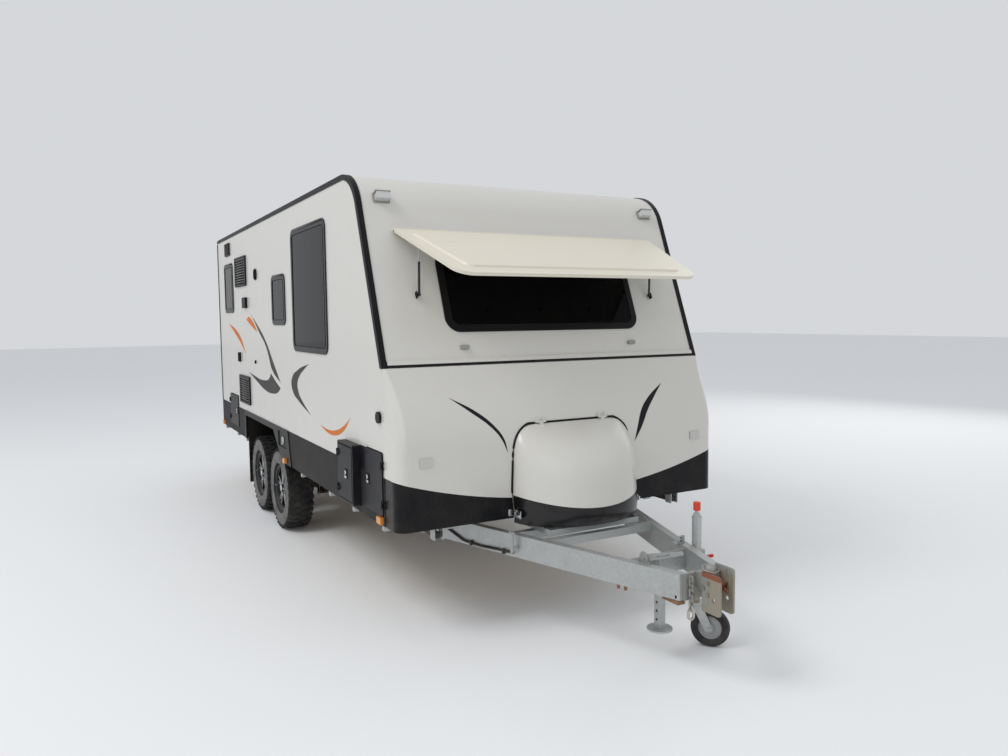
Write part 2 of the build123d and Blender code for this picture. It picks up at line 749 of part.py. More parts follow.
def drawbar_beams():
    """Two box beams that meet in an A behind the coupling, with their cross plates."""
    parts = []
    half = BEAM_WIDTH / 2 * sqrt(1 + BEAM_SLOPE**2)
    for side in (-1, 1):
        y0, y1 = side * beam_y(BEAM_REAR_X), side * beam_y(BEAM_FRONT_X)
        plan = Polygon(
            (BEAM_REAR_X, y0 - half),
            (BEAM_FRONT_X, y1 - half),
            (BEAM_FRONT_X, y1 + half),
            (BEAM_REAR_X, y0 + half),
            align=None,
        )
        parts.append(upward(plan, BEAM_LOW, BEAM_TOP))
    frame = parts[0] + parts[1]
    gap = beam_y(BEAM_FRONT_X) - half
    frame += slab(BEAM_FRONT_X - 10, BEAM_FRONT_X, -gap - 20, gap + 20, BEAM_LOW + 5, BEAM_TOP)
    reach = beam_y(STAND_X - 45) - half + 8
    frame += slab(STAND_X - 45, STAND_X - 35, -reach, reach, BEAM_LOW + 10, BEAM_TOP - 10)
    frame += slab(STAND_X - 35, STAND_X - 28, -40, 40, BEAM_LOW + 10, BEAM_TOP - 10)
    for x in (NOSE_X + 60, NOSE_X + 300):
        shelf = beam_y(x - 25) - half + 8
        frame += slab(x - 25, x + 25, -shelf, shelf, BEAM_TOP - 50, BEAM_TOP)
    return frame


def chassis_frame():
    """Two main rails with cross members, outriggers, bumper arms, steady brackets and step runners."""
    frame = None
    for side in (-1, 1):
        y0, y1 = side * RAIL_Y - RAIL_WIDTH / 2, side * RAIL_Y + RAIL_WIDTH / 2
        rail = slab(REAR_X + 10, KNEE_X - 20, y0, y1, RAIL_LOW, RAIL_TOP)
        frame = rail if frame is None else frame + rail
        arm = slab(BUMPER_X + 50, REAR_X + 10, y0 + 5, y1 - 5, RAIL_LOW, RAIL_TOP - 30)
        frame += arm
    for x in CROSS_MEMBERS:
        frame += slab(x - 20, x + 20, -RAIL_Y, RAIL_Y, RAIL_TOP - 60, RAIL_TOP)
    for side in (-1, 1):
        for x in CROSS_MEMBERS:
            if abs(x) > 900:
                reach = side * (INNER + 20)
                frame += slab(x - 20, x + 20, side * RAIL_Y, reach, RAIL_TOP - 45, RAIL_TOP)
    for bracket in steady_brackets():
        frame += bracket
    for end in (-1, 1):
        middle = sum(ENTRY_X) / 2
        near, far = middle + end * (STEP_HALF + 0.5), middle + end * (STEP_HALF + 12)
        frame += slab(near, far, 700, 1190, STEP_LOW_Z - 10, RAIL_TOP)
        frame += slab(near - end * 16, far, 700, 1190, STEP_LOW_Z - 10, STEP_LOW_Z - 1)
        frame += slab(near, far, RAIL_Y, 710, RAIL_TOP - 45, RAIL_TOP)
    return frame + rear_bumper()


def rear_bumper():
    """Box bumper across the rear with the spare wheel's post."""
    bar = slab(BUMPER_X, BUMPER_X + 50, -1150, 1150, RAIL_LOW - 10, RAIL_TOP - 30)
    post = slab(BUMPER_X, BUMPER_X + 50, -40, 40, RAIL_TOP - 30, SPARE_Z + 90)
    hub_back = SPARE_X - TYRE_WIDTH + 80
    return bar + post + rod((BUMPER_X + 5, 0, SPARE_Z), (hub_back, 0, SPARE_Z), 60)


def tyre_form():
    """One tyre turned about the Y axis, with square shoulders to its tread."""
    half = TYRE_WIDTH / 2
    # radius, offset from the tyre's middle
    profile = [
        (RIM_RADIUS + 2, half - 38),
        (RIM_RADIUS + 14, half - 20),
        (RIM_RADIUS + 75, half),
        (TYRE_RADIUS - 30, half - 4),
        (TYRE_RADIUS - 5, half - 20),
        (TYRE_RADIUS, half - 40),
    ]
    mirrored = [(r, -o) for r, o in reversed(profile)]
    ring = Polygon(*[(o, r) for r, o in profile + mirrored], align=None)
    return revolve(Plane.YZ * ring, Axis.Y)


def tyre(form, x, y_out, side):
    """A tyre standing at x, with its outer face at y_out."""
    return Pos(x, y_out - side * TYRE_WIDTH / 2, HUB_Z) * form


def rim_body(drum):
    """Wheel rim about the Y axis, outer face towards +Y, with its brake drum if it has one."""
    half = TYRE_WIDTH / 2
    r = RIM_RADIUS
    # radius, offset from the tyre's middle
    barrel = [
        (r + 1.5, half - 24),
        (r - 10, half - 26),
        (r - 24, half - 44),
        (r - 28, -half + 60),
        (r - 12, -half + 34),
        (r + 1.5, -half + 24),
        (r + 1.5, -half + 38),
        (r - 4, -half + 58),
        (r - 14, half - 70),
        (r + 1.5, half - 38),
    ]
    wheel = revolve(Plane.YZ * Polygon(*[(o, q) for q, o in barrel], align=None), Axis.Y)
    wheel += rod((0, half - 80, 0), (0, half - 44, 0), 72)
    wheel += rod((0, half - 50, 0), (0, half - 26, 0), 34)
    # a pair of tapered bars from the hub to the barrel: width at the hub, width at the barrel
    bar = Polygon((-17, 50), (17, 50), (12, r - 22), (-12, r - 22), align=None)
    bar = extrude(Plane.XZ.offset(-half + 42) * bar, amount=24)
    for i in range(RIM_SPOKES):
        for lean in (-9, 9):
            wheel += Rot(0, 360 * i / RIM_SPOKES + lean, 0) * bar
    if drum:
        wheel += rod((0, -half + 2, 0), (0, 25, 0), DRUM_RADIUS)
        wheel += rod((0, 20, 0), (0, half - 70, 0), 60)
        wheel -= rod((0, -half, 0), (0, 40, 0), STUB_RADIUS + SHAFT_CLEARANCE)
    return wheel


def rim(form, x, y_out, side):
    """One road wheel's rim with its drum, outer face at y_out."""
    turned = mirror(form, Plane.XZ) if side < 0 else form
    return Pos(x, y_out - side * TYRE_WIDTH / 2, HUB_Z) * turned


def spare_place():
    """Where the spare wheel's middle lies, with its outer face to the rear."""
    return Pos(SPARE_X - TYRE_WIDTH / 2, 0, SPARE_Z) * Rot(0, 0, 90)


def spare_tyre(form):
    """Spare tyre on the rear bumper's post."""
    return spare_place() * form


def spare_rim():
    """Spare wheel's rim."""
    return spare_place() * rim_body(False)


def axles():
    """Square beam axles with their stubs and brake back plates."""
    parts = []
    inner = TRACK_OUTER - TYRE_WIDTH
    for x in AXLES_X:
        low, high = HUB_Z - AXLE_BEAM / 2, HUB_Z + AXLE_BEAM / 2
        beam = slab(x - AXLE_BEAM / 2, x + AXLE_BEAM / 2, 5 - inner, inner - 5, low, high)
        for side in (-1, 1):
            beam += rod((x, side * (inner - 20), HUB_Z), (x, side * (inner - 4), HUB_Z), DRUM_RADIUS + 8)
            beam += rod((x, side * (inner - 60), HUB_Z), (x, side * (inner + 150), HUB_Z), STUB_RADIUS)
        parts.append(beam)
    return Compound(children=parts)


def leaf_springs():
    """Leaf pack under each axle end, hung from the rails by hangers and a rocker."""
    parts = []
    span = AXLE_SPACING / 2 - 45
    top = HUB_Z - AXLE_BEAM / 2
    for side in (-1, 1):
        y0, y1 = side * RAIL_Y - SPRING_WIDTH / 2, side * RAIL_Y + SPRING_WIDTH / 2
        group = None
        for x in AXLES_X:
            for i in range(4):
                reach = span * (1 - 0.2 * i)
                z = top - 2 - i * LEAF_THICK
                rise = 60.0 * (reach / span) ** 2
                radius = (reach**2 + rise**2) / (2 * rise)
                disc = Pos(x, z + radius) * Circle(radius + LEAF_THICK)
                disc -= Pos(x, z + radius) * Circle(radius - 0.5)
                disc = Pos(0, -LEAF_THICK) * disc
                leaf = disc & region(x - reach, x + reach, z - 2 * LEAF_THICK, z + rise + 10)
                leaf = across(Pos(0, LEAF_THICK) * leaf, y0, y1)
                group = leaf if group is None else group + leaf
            clamp = slab(x - 45, x + 45, y0 - 8, y1 + 8, top - 60, top)
            group += clamp
        for offset_x in (-AXLE_SPACING + 45, 0, AXLE_SPACING - 45):
            x = AXLE_PAIR_X + offset_x
            group += slab(x - 32, x + 32, y0 - 8, y1 + 8, top + 25, RAIL_LOW)
        parts.append(group)
    return Compound(children=parts)


def water_tanks():
    """Two moulded water tanks between the rails."""
    parts = []
    for x0, x1 in ((1000, 1700), (-1800, -1400)):
        tank = slab(x0, x1, -560, 560, RAIL_LOW - 60, SILL_Z - SEAM)
        tank = fillet(tank.edges().filter_by(Axis.Z), 40)
        parts.append(tank)
    return Compound(children=parts)


def coupling():
    """Off-road coupling: two upright cheeks on a rear block, with a domed pivot and its pull ring."""
    rear = CHEEK_FRONT_X - CHEEK_LENGTH
    wide = CHEEK_GAP / 2 + CHEEK_THICK
    body = slab(BEAM_FRONT_X, rear, -wide, wide, BEAM_LOW + 60, BEAM_TOP + 6)
    body += slab(BEAM_FRONT_X, BEAM_FRONT_X + 12, -CHAIN_Y - 30, CHAIN_Y + 30, BEAM_LOW, BEAM_TOP)
    body = chamfer(body.edges().filter_by(Axis.Y).sort_by(Axis.Z)[-2:], 5)
    pin_x = CHEEK_FRONT_X - 45
    for side, top in ((-1, CHEEK_HIGH_Z), (1, CHEEK_HIGH_Z + CHEEK_STEP)):
        flat = region(rear - 30, CHEEK_FRONT_X, CHEEK_LOW_Z, top)
        front = [v for v in flat.vertices() if v.X > rear]
        flat = fillet(front, 16)
        flat -= Pos(pin_x, TOW_PIN_Z) * Circle(TOW_PIN_RADIUS)
        if side > 0:
            flat -= Pos(CHEEK_FRONT_X - 48, top - 36) * Rot(0, 0, 90) * SlotOverall(44, 10)
        body += across(flat, side * CHEEK_GAP / 2, side * wide)
    post_x = rear - 22
    body += rod((post_x, 0, BEAM_TOP), (post_x, 0, BEAM_TOP + 22), COUPLER_DOME)
    dome = Pos(post_x, 0, BEAM_TOP + 22) * Sphere(COUPLER_DOME)
    body += dome & slab(post_x - 60, post_x + 60, -60, 60, BEAM_TOP + 18, BEAM_TOP + 90)
    ring = Pos(post_x, 0, BEAM_TOP + 24) * Rot(0, 12, 0) * Torus(COUPLER_DOME + 9, 6)
    body += ring
    body += slab(post_x - 6, post_x + 6, -COUPLER_DOME - 8, COUPLER_DOME + 8, BEAM_TOP + 17, BEAM_TOP + 27)
    for side in (-1, 1):
        eye = region(BEAM_FRONT_X + 6, CHAIN_X + 14, CHAIN_EYE_Z - 16, CHAIN_EYE_Z + 16)
        eye -= Pos(CHAIN_X, CHAIN_EYE_Z) * Circle(CHAIN_EYE)
        body += across(eye, side * CHAIN_Y - LINK_WIRE / 2, side * CHAIN_Y + LINK_WIRE / 2)
    return body


def chain_link(length, width, wire):
    """One chain link standing in the Y-Z plane."""
    ring = SlotOverall(length, width) - SlotOverall(length - 2 * wire, width - 2 * wire)
    form = extrude(Rot(0, 0, 90) * ring, amount=wire / 2, both=True)
    return Plane.YZ.location * form


def link_seat(length, width, wire, other):
    """From a link's middle to where the next one's wire, as thick as other, rests in its end."""
    return (length - width) / 2 + sqrt((width / 2 - wire) ** 2 - (other / 2) ** 2)


def safety_chains():
    """Two hanging chains on the eyes beside the coupling, each with a shackle at its end."""
    parts = []
    link_size = (LINK_LENGTH, LINK_WIDTH, LINK_WIRE)
    link = chain_link(*link_size)
    shackle = chain_link(*SHACKLE)
    reach = link_seat(*link_size, LINK_WIRE)
    eye = sqrt(CHAIN_EYE**2 - (LINK_WIRE / 2) ** 2)
    top = CHAIN_EYE_Z - eye - reach + SEAM
    drop = link_seat(*link_size, SHACKLE[2]) + link_seat(*SHACKLE, LINK_WIRE)
    for side in (-1, 1):
        for i in range(LINK_COUNT):
            place = Pos(CHAIN_X, side * CHAIN_Y, top - i * (2 * reach - SEAM))
            parts.append(place * Rot(0, 0, 90 * (i % 2)) * link)
        last = top - (LINK_COUNT - 1) * (2 * reach - SEAM)
        parts.append(Pos(CHAIN_X, side * CHAIN_Y, last - drop + SEAM) * shackle)
    return Compound(children=parts)


def drawbar_fittings():
    """Hand brake with its ratchet and lever, the water tap and its clipped hose."""
    y = -(beam_y(HAND_BRAKE_X) - BEAM_WIDTH / 2)
    low = BEAM_TOP - 30
    plate = region(HAND_BRAKE_X - 45, HAND_BRAKE_X + 50, low, BEAM_TOP + 18)
    plate += Pos(HAND_BRAKE_X, BEAM_TOP + 26) * Circle(34)
    for i in range(9):
        turn = radians(100 + 12 * i)
        tooth = Pos(HAND_BRAKE_X + 34 * cos(turn), BEAM_TOP + 26 + 34 * sin(turn)) * Circle(2.4)
        plate += tooth
    brake = across(plate, y - 4, y + 4)
    arm = Polygon(
        (HAND_BRAKE_X - 14, BEAM_TOP + 12),
        (HAND_BRAKE_X + 14, BEAM_TOP + 8),
        (HAND_BRAKE_X + 300, BEAM_TOP + 118),
        (HAND_BRAKE_X + 296, BEAM_TOP + 138),
        (HAND_BRAKE_X - 8, BEAM_TOP + 44),
        align=None,
    )
    slot = Pos(HAND_BRAKE_X + 150, BEAM_TOP + 75) * Rot(0, 0, 20) * SlotOverall(110, 9)
    brake += across(arm - slot, y + 4, y + 11)
    brake += rod((HAND_BRAKE_X, y - 10, BEAM_TOP + 26), (HAND_BRAKE_X, y + 16, BEAM_TOP + 26), 9)
    brake -= drawbar_beams()
    face = -beam_face(TAP_X)
    tap = rod((TAP_X, face + 12, 440), (TAP_X, face - 45, 440), 9)
    tap += rod((TAP_X, face - 38, 410), (TAP_X, face - 38, 530), 11)
    tap += slab(TAP_X - 28, TAP_X + 28, face - 44, face - 32, 530, 538)
    tap -= drawbar_beams()
    return Compound(children=[brake, tap, tap_hose()])


def tap_hose():
    """Hose that runs along the outer face of the offside beam to the tap, held by two clips."""
    # place along X, height, along the beam's outer face
    runs = [(2650, 476), (2730, 446), (2860, 398), (3000, 390), (3160, 398), (TAP_X - 24, 402)]
    points = [(x, -beam_face(x) - HOSE_RADIUS - 1, z) for x, z in runs]
    path = FilletPolyline(*points, radius=60)
    hose = sweep(Plane(origin=path @ 0, z_dir=path % 0) * Circle(HOSE_RADIUS), path=path)
    for x in (2930, 3200):
        y = -beam_face(x)
        hose += slab(x - 8, x + 8, y - 2 * HOSE_RADIUS - 4, y, 380, 412) - drawbar_beams()
    return hose


def jockey_tube():
    """Fixed outer tube of the jockey wheel with its clamp on the nearside beam and the winding knob."""
    low, high = JOCKEY_CLAMP_Z
    tube = Pos(0, 0, JOCKEY_TUBE_LOW_Z) * Cylinder(
        JOCKEY_TUBE_RADIUS, JOCKEY_TOP_Z - JOCKEY_TUBE_LOW_Z, align=(Align.CENTER, Align.CENTER, Align.MIN)
    )
    back, front = -34, 34
    clamp = Polygon(
        (back, beam_face(JOCKEY_X + back) - JOCKEY_Y),
        (front, beam_face(JOCKEY_X + front) - JOCKEY_Y),
        (front, 34),
        (back, 34),
        align=None,
    )
    tube += upward(clamp, low, high)
    # collars and winding head from the tube's top up: foot, head, radius
    steps = [
        (JOCKEY_TOP_Z - 150, JOCKEY_TOP_Z - 144, JOCKEY_TUBE_RADIUS + 1.5),
        (JOCKEY_TOP_Z - 4, JOCKEY_TOP_Z + 8, JOCKEY_TUBE_RADIUS + 2),
        (JOCKEY_TOP_Z, JOCKEY_TOP_Z + 24, 20),
        (JOCKEY_TOP_Z + 20, JOCKEY_TOP_Z + 46, 11),
        (JOCKEY_TOP_Z + 42, JOCKEY_TOP_Z + 90, 21),
    ]
    for foot, head, radius in steps:
        tube += rod((0, 0, foot), (0, 0, head), radius)
    tube -= rod((0, 0, JOCKEY_TUBE_LOW_Z - 1), (0, 0, JOCKEY_TOP_Z - 20), JOCKEY_STEM_RADIUS + 1)
    return Pos(JOCKEY_X, JOCKEY_Y, 0) * tube


def jockey_stem():
    """Inner tube that winds up and down."""
    high = JOCKEY_TOP_Z - 20 - JOCKEY_LIFT - 6
    return rod((JOCKEY_X, JOCKEY_Y, JOCKEY_FORK_Z), (JOCKEY_X, JOCKEY_Y, high), JOCKEY_STEM_RADIUS)


def jockey_fork():
    """Swivelling fork with the axle, trailing behind the stem."""
    top = JOCKEY_FORK_Z - SEAM
    axle_z = JOCKEY_AXLE_Z
    reach = JOCKEY_WHEEL_WIDTH / 2 + 14
    fork = rod((0, 0, top - 10), (0, 0, top), 34) + slab(-28, 40, -reach, reach, top - 10, top)
    for side in (-1, 1):
        y = side * (JOCKEY_WHEEL_WIDTH / 2 + 9)
        flat = Polygon(
            (-24, top - 5),
            (36, top - 5),
            (JOCKEY_TRAIL + 26, axle_z - 16),
            (JOCKEY_TRAIL - 22, axle_z - 26),
            align=None,
        )
        flat = fillet(flat.vertices().sort_by(Axis.Y)[:2], 18)
        fork += across(flat, y - 3, y + 3)
    fork += rod((JOCKEY_TRAIL, -reach - 4, axle_z), (JOCKEY_TRAIL, reach + 4, axle_z), 8)
    return Pos(JOCKEY_X, JOCKEY_Y, 0) * Rot(0, 0, JOCKEY_TURN) * fork


def jockey_wheel():
    """Solid rubber jockey wheel on its dished centre, with its bore."""
    half = JOCKEY_WHEEL_WIDTH / 2
    # radius, offset from the wheel's middle
    profile = [
        (8.3, half - 4),
        (26, half - 4),
        (30, half - 18),
        (66, half - 18),
        (70, half - 8),
        (JOCKEY_WHEEL_RADIUS - 14, half),
        (JOCKEY_WHEEL_RADIUS - 3, half - 8),
        (JOCKEY_WHEEL_RADIUS, half - 18),
    ]
    mirrored = [(r, -o) for r, o in reversed(profile)]
    ring = Polygon(*[(o, r) for r, o in profile + mirrored], align=None)
    wheel = revolve(Plane.YZ * ring, Axis.Y)
    place = Pos(JOCKEY_X, JOCKEY_Y, 0) * Rot(0, 0, JOCKEY_TURN) * Pos(JOCKEY_TRAIL, 0, JOCKEY_AXLE_Z)
    return place * wheel


def drop_stand():
    """Pinned drop leg with its round foot, carried up."""
    x = STAND_X - 28 + STAND_LEG / 2 + SEAM
    leg = slab(x - STAND_LEG / 2, x + STAND_LEG / 2, -STAND_LEG / 2, STAND_LEG / 2,
               STAND_FOOT_Z, BEAM_TOP - 5)
    foot = rod((x, 0, STAND_FOOT_Z - 6), (x, 0, STAND_FOOT_Z + 4), STAND_FOOT_RADIUS)
    return leg + foot


# Corner steadies: pivot x, pivot y, direction in which the stowed leg points along X
STEADIES = {
    "steady_front_offside": (3060.0, -930.0, -1),
    "steady_front_nearside": (3060.0, 930.0, -1),
    "steady_rear_offside": (-2560.0, -930.0, 1),
    "steady_rear_nearside": (-2560.0, 930.0, 1),
}


def steady_leg(pivot_x, pivot_y, toward):
    """One folded corner steady: channel leg with its foot pad."""
    x0 = pivot_x - toward * 18
    x1 = pivot_x + toward * STEADY_LEG
    leg = slab(x0, x1, pivot_y - 18, pivot_y + 18, STEADY_PIVOT_Z - 16, STEADY_PIVOT_Z + 16)
    foot = slab(x1 - toward * 4, x1 + toward * 8, pivot_y - 45, pivot_y + 45,
                STEADY_PIVOT_Z - 45, STEADY_PIVOT_Z + 35)
    leg -= rod((pivot_x, pivot_y - 40, STEADY_PIVOT_Z), (pivot_x, pivot_y + 40, STEADY_PIVOT_Z), 8.3)
    return leg + foot


def steady_brackets():
    """Brackets and pivot pins that carry the corner steadies."""
    parts = []
    for pivot_x, pivot_y, toward in STEADIES.values():
        x0, x1 = pivot_x - 30, pivot_x + 30
        low = STEADY_PIVOT_Z - 25
        bracket = rod(
            (pivot_x, pivot_y - 32, STEADY_PIVOT_Z), (pivot_x, pivot_y + 32, STEADY_PIVOT_Z), 8
        )
        for y in (pivot_y - 28.5, pivot_y + 28.5):
            bracket += slab(x0, x1, y - 3.5, y + 3.5, low, SILL_Z)
        back = min(pivot_x, KNEE_X - 60)
        bracket += slab(back - 30, x1, pivot_y - 32, pivot_y + 32, SILL_Z - 8, SILL_Z)
        parts.append(bracket)
    return parts


def shield_hinge_point():
    """Middle of the window shield's hinge axis."""
    frame = front_plane(SHIELD_STANDOFF)
    return frame.from_local_coords((0, SHIELD_HINGE_UP, 0))


def shield_plane(lift=0.0):
    """The open shield's own plane. Local y runs from the hinge to its free edge."""
    down = radians(SHIELD_REST)
    normal = Vector(sin(down), 0, cos(down))
    return Plane(origin=shield_hinge_point() + normal * lift, x_dir=(0, -1, 0), z_dir=normal)


def shield_outline(inset):
    """Outline of the shield in its own plane."""
    flat = Polygon(
        (-SHIELD_HINGE_HALF + inset, 8 + inset),
        (SHIELD_HINGE_HALF - inset, 8 + inset),
        (SHIELD_EDGE_HALF - inset, SHIELD_LENGTH - inset),
        (-SHIELD_EDGE_HALF + inset, SHIELD_LENGTH - inset),
        align=None,
    )
    outer = [v for v in flat.vertices() if v.Y > SHIELD_LENGTH / 2]
    return fillet(outer, 120 - inset * 0.6)


def window_shield():
    """Moulded shield, hinged along its top edge, with a turned-down rim and a raised panel."""
    skin = extrude(shield_plane(-3) * shield_outline(0), amount=6)
    rim = extrude(shield_plane(-18) * (shield_outline(0) - shield_outline(5)), amount=16)
    panel = extrude(shield_plane(2) * shield_outline(85), amount=12, taper=40)
    hinge = shield_hinge_point()
    barrel = rod((hinge.X, -SHIELD_HINGE_HALF, hinge.Z), (hinge.X, SHIELD_HINGE_HALF, hinge.Z), 7)
    shield = skin + rim + panel + barrel
    shield += extrude(shield_plane(-3) * (Pos(0, 6) * Rectangle(SHIELD_HINGE_HALF * 2, 12)), amount=6)
    high = strut_high()
    for side in (-1, 1):
        inner_face = STRUT_Y + 20
        lug = shield_plane(-STRUT_DROP - KNUCKLE) * (
            Pos(-side * (inner_face + 3), STRUT_REACH) * Rectangle(6, 24)
        )
        shield += extrude(lug, amount=STRUT_DROP + KNUCKLE - 1)
        shield += rod((high.X, side * inner_face, high.Z), (high.X, side * (STRUT_Y + 10), high.Z), 4)
    return shield


def shield_hinge():
    """Hinge rail above the shield and the struts' wall brackets."""
    hinge = shield_hinge_point()
    block = front_plane() * (Pos(0, SHIELD_HINGE_UP + 14) * Rectangle(SHIELD_HINGE_HALF * 2, 22))
    rail = extrude(block, amount=SHIELD_STANDOFF)
    over = SHIELD_HINGE_HALF + 5
    rail -= rod((hinge.X, -over, hinge.Z), (hinge.X, over, hinge.Z), 7 + SHAFT_CLEARANCE)
    parts = [rail]
    low = strut_low()
    for side in (-1, 1):
        foot = front_plane() * (Pos(side * (STRUT_Y + 16), STRUT_LOW_UP) * Rectangle(8, 40))
        bracket = extrude(foot, amount=STRUT_STANDOFF + 8)
        bracket += rod((low.X, side * (STRUT_Y + 12), low.Z), (low.X, side * (STRUT_Y - 9), low.Z), 4)
        parts.append(bracket)
    return parts


def strut_low():
    """Lower pivot of the struts, in the X-Z plane."""
    return front_plane(STRUT_STANDOFF).from_local_coords((0, STRUT_LOW_UP, 0))


def strut_high():
    """Upper end of the struts at the shield, in the X-Z plane."""
    return shield_plane(-STRUT_DROP).from_local_coords((0, STRUT_REACH, 0))


def strut_cylinders():
    """Gas strut tubes, pivoted on the wall."""
    low, high = strut_low(), strut_high()
    along = (high - low).normalized()
    parts = []
    for side in (-1, 1):
        y = side * STRUT_Y
        eye = rod((low.X, y - 8, low.Z), (low.X, y + 8, low.Z), 9)
        a = low + along * 8
        b = low + along * 205
        tube = rod((a.X, y, a.Z), (b.X, y, b.Z), STRUT_TUBE_RADIUS)
        tube -= rod((low.X + along.X * 30, y, low.Z + along.Z * 30), (b.X + along.X, y, b.Z + along.Z), 4.3)
        bore = rod((low.X, y - 12, low.Z), (low.X, y + 12, low.Z), 4 + SHAFT_CLEARANCE)
        parts.append(tube + eye - bore)
    return Compound(children=parts)


def strut_rods():
    """Gas strut rods that slide in the tubes."""
    low, high = strut_low(), strut_high()
    along = (high - low).normalized()
    parts = []
    for side in (-1, 1):
        y = side * STRUT_Y
        a = low + along * 105
        b = high - along * 5
        bar = rod((a.X, y, a.Z), (b.X, y, b.Z), 4)
        eye = rod((high.X, y - 8, high.Z), (high.X, y + 8, high.Z), 8)
        parts.append(bar + eye)
    return Compound(children=parts)


def air_conditioner():
    """Low roof air conditioner with rounded shroud."""
    shroud = Pos(-300, 0, ROOF_Z + 115) * Box(1050, 640, 230)
    shroud = fillet(shroud.edges().filter_by(Axis.Z), 110)
    top = shroud.faces().sort_by(Axis.Z)[-1]
    return fillet(top.edges(), 70)


def roof_units():
    """Air conditioner and the two roof hatch lids on their frames."""
    parts = [air_conditioner()]
    for x in HATCHES_X:
        lid = Pos(x, 0, ROOF_Z + 36) * Box(HATCH_SIZE, HATCH_SIZE, 72)
        lid = fillet(lid.edges().filter_by(Axis.Z), 45)
        top = lid.faces().sort_by(Axis.Z)[-1]
        parts.append(fillet(top.edges(), 30))
    return Compound(children=parts)


def awning():
    """Roll-out awning, rolled in, with its two upright arms on the nearside wall."""
    y = HALF + 26 + AWNING_RADIUS
    roll = rod((AWNING_X[0], y, AWNING_Z), (AWNING_X[1], y, AWNING_Z), AWNING_RADIUS)
    rail = slab(AWNING_X[0], AWNING_X[1], HALF, HALF + 30, AWNING_Z + 30, AWNING_Z + 60)
    unit = roll + rail
    for x in AWNING_X:
        unit += slab(x - 20, x + 20, HALF, y + 10, AWNING_Z - 20, AWNING_Z + 20)
        unit += slab(x - 20, x + 20, HALF, HALF + 44, 1040, AWNING_Z)
    return unit


def gas_bottles():
    """Two upright gas bottles on their tray."""
    x = NOSE_X + BOTTLE_AHEAD
    wide = BOTTLE_SPREAD + BOTTLE_RADIUS + 8
    base = BEAM_TOP + 6
    flat = region(x - BOTTLE_RADIUS - 8, x + BOTTLE_RADIUS + 8, -wide, wide)
    tray = upward(flat, BEAM_TOP, BEAM_TOP + TRAY_DEPTH)
    tray -= upward(offset(flat, -4), base, BEAM_TOP + TRAY_DEPTH + 1)
    for side in (-1, 1):
        y = side * BOTTLE_SPREAD
        body = rod((x, y, base), (x, y, BOTTLE_TOP_Z), BOTTLE_RADIUS)
        body = fillet(body.faces().sort_by(Axis.Z)[-1].edges(), 70)
        tray += body + rod((x, y, BOTTLE_TOP_Z - 5), (x, y, BOTTLE_TOP_Z + 76), 60)
    return tray


def entry_step():
    """Pull-out step under the entry door."""
    middle = sum(ENTRY_X) / 2
    return slab(middle - STEP_HALF, middle + STEP_HALF, 960, 1200, STEP_LOW_Z, STEP_LOW_Z + 30)


def bed_and_boot():
    """Bed base with the tunnel boot partition behind the nose."""
    partition = slab(BOOT_X[0] - 60, BOOT_X[0] - 45, -INNER + 5, INNER - 5, FLOOR_TOP + SEAM, 1100)
    top = slab(BOOT_X[0] - 1500, KNEE_X - WALL - 5, -760, 760, 1100, 1118)
    front = slab(BOOT_X[0] - 1500, BOOT_X[0] - 1485, -760, 760, FLOOR_TOP + SEAM, 1100)
    return partition + top + front


def mattress():
    """Mattress on the bed base."""
    block = slab(BOOT_X[0] - 1490, KNEE_X - WALL - 60, -750, 750, 1118 + SEAM, 1268)
    return fillet(block.edges(), 40)


def build_nodes():
    """Every node's solid by name, measured from the body's datum."""
    white_nose, black_nose = nose_parts()
    frames, panes = side_windows()
    front_frame, front_pane = front_window()
    tread = tyre_form()
    road_rim = rim_body(True)
    nodes = {
        "side_wall_offside": side_wall(-1),
        "side_wall_nearside": side_wall(1),
        "roof_panel": roof_panel(),
        "front_panel": front_panel(),
        "rear_wall": rear_wall(),
        "floor_deck": floor_deck(),
        "nose_moulding": white_nose,
        "nose_skirt": black_nose,
        "lower_cladding": lower_cladding(),
        "wheel_arches": wheel_arches(),
        "edge_mouldings": edge_mouldings(),
        "window_frames": Compound(children=frames + [front_frame]),
        "window_panes": Compound(children=panes + [front_pane]),
        "wall_fittings": wall_fittings(),
        "road_lamps": road_lamps(),
        "locker_box": locker_box(),
        "chassis_frame": chassis_frame(),
        "drawbar_beams": drawbar_beams(),
        "spare_tyre": spare_tyre(tread),
        "spare_rim": spare_rim(),
        "axles": axles(),
        "leaf_springs": leaf_springs(),
        "water_tanks": water_tanks(),
        "coupling": coupling(),
        "safety_chains": safety_chains(),
        "drawbar_fittings": drawbar_fittings(),
        "jockey_tube": jockey_tube(),
        "roof_units": roof_units(),
        "awning": awning(),
        "gas_bottles": gas_bottles(),
        "bed_base": bed_and_boot(),
        "mattress": mattress(),
        "gas_lid": gas_lid(),
        "window_shield": window_shield(),
        "strut_cylinders": strut_cylinders(),
        "strut_rods": strut_rods(),
        "entry_door": entry_door(),
        "entry_window": entry_window(),
        "entry_step": entry_step(),
        "boot_door_offside": boot_door("boot_door_offside"),
        "boot_door_nearside": boot_door("boot_door_nearside"),
        "locker_door": locker_door(),
        "service_hatch": service_hatch(),
        "jockey_stem": jockey_stem(),
        "jockey_fork": jockey_fork(),
        "jockey_wheel": jockey_wheel(),
        "drop_stand": drop_stand(),
    }
    for name, row in STEADIES.items():
        nodes[name] = steady_leg(*row)
    for end, x in zip(("front", "rear"), AXLES_X):
        for name, side in (("offside", -1), ("nearside", 1)):
            nodes[f"tyre_{end}_{name}"] = tyre(tread, x, side * TRACK_OUTER, side)
            nodes[f"rim_{end}_{name}"] = rim(road_rim, x, side * TRACK_OUTER, side)
    return nodes


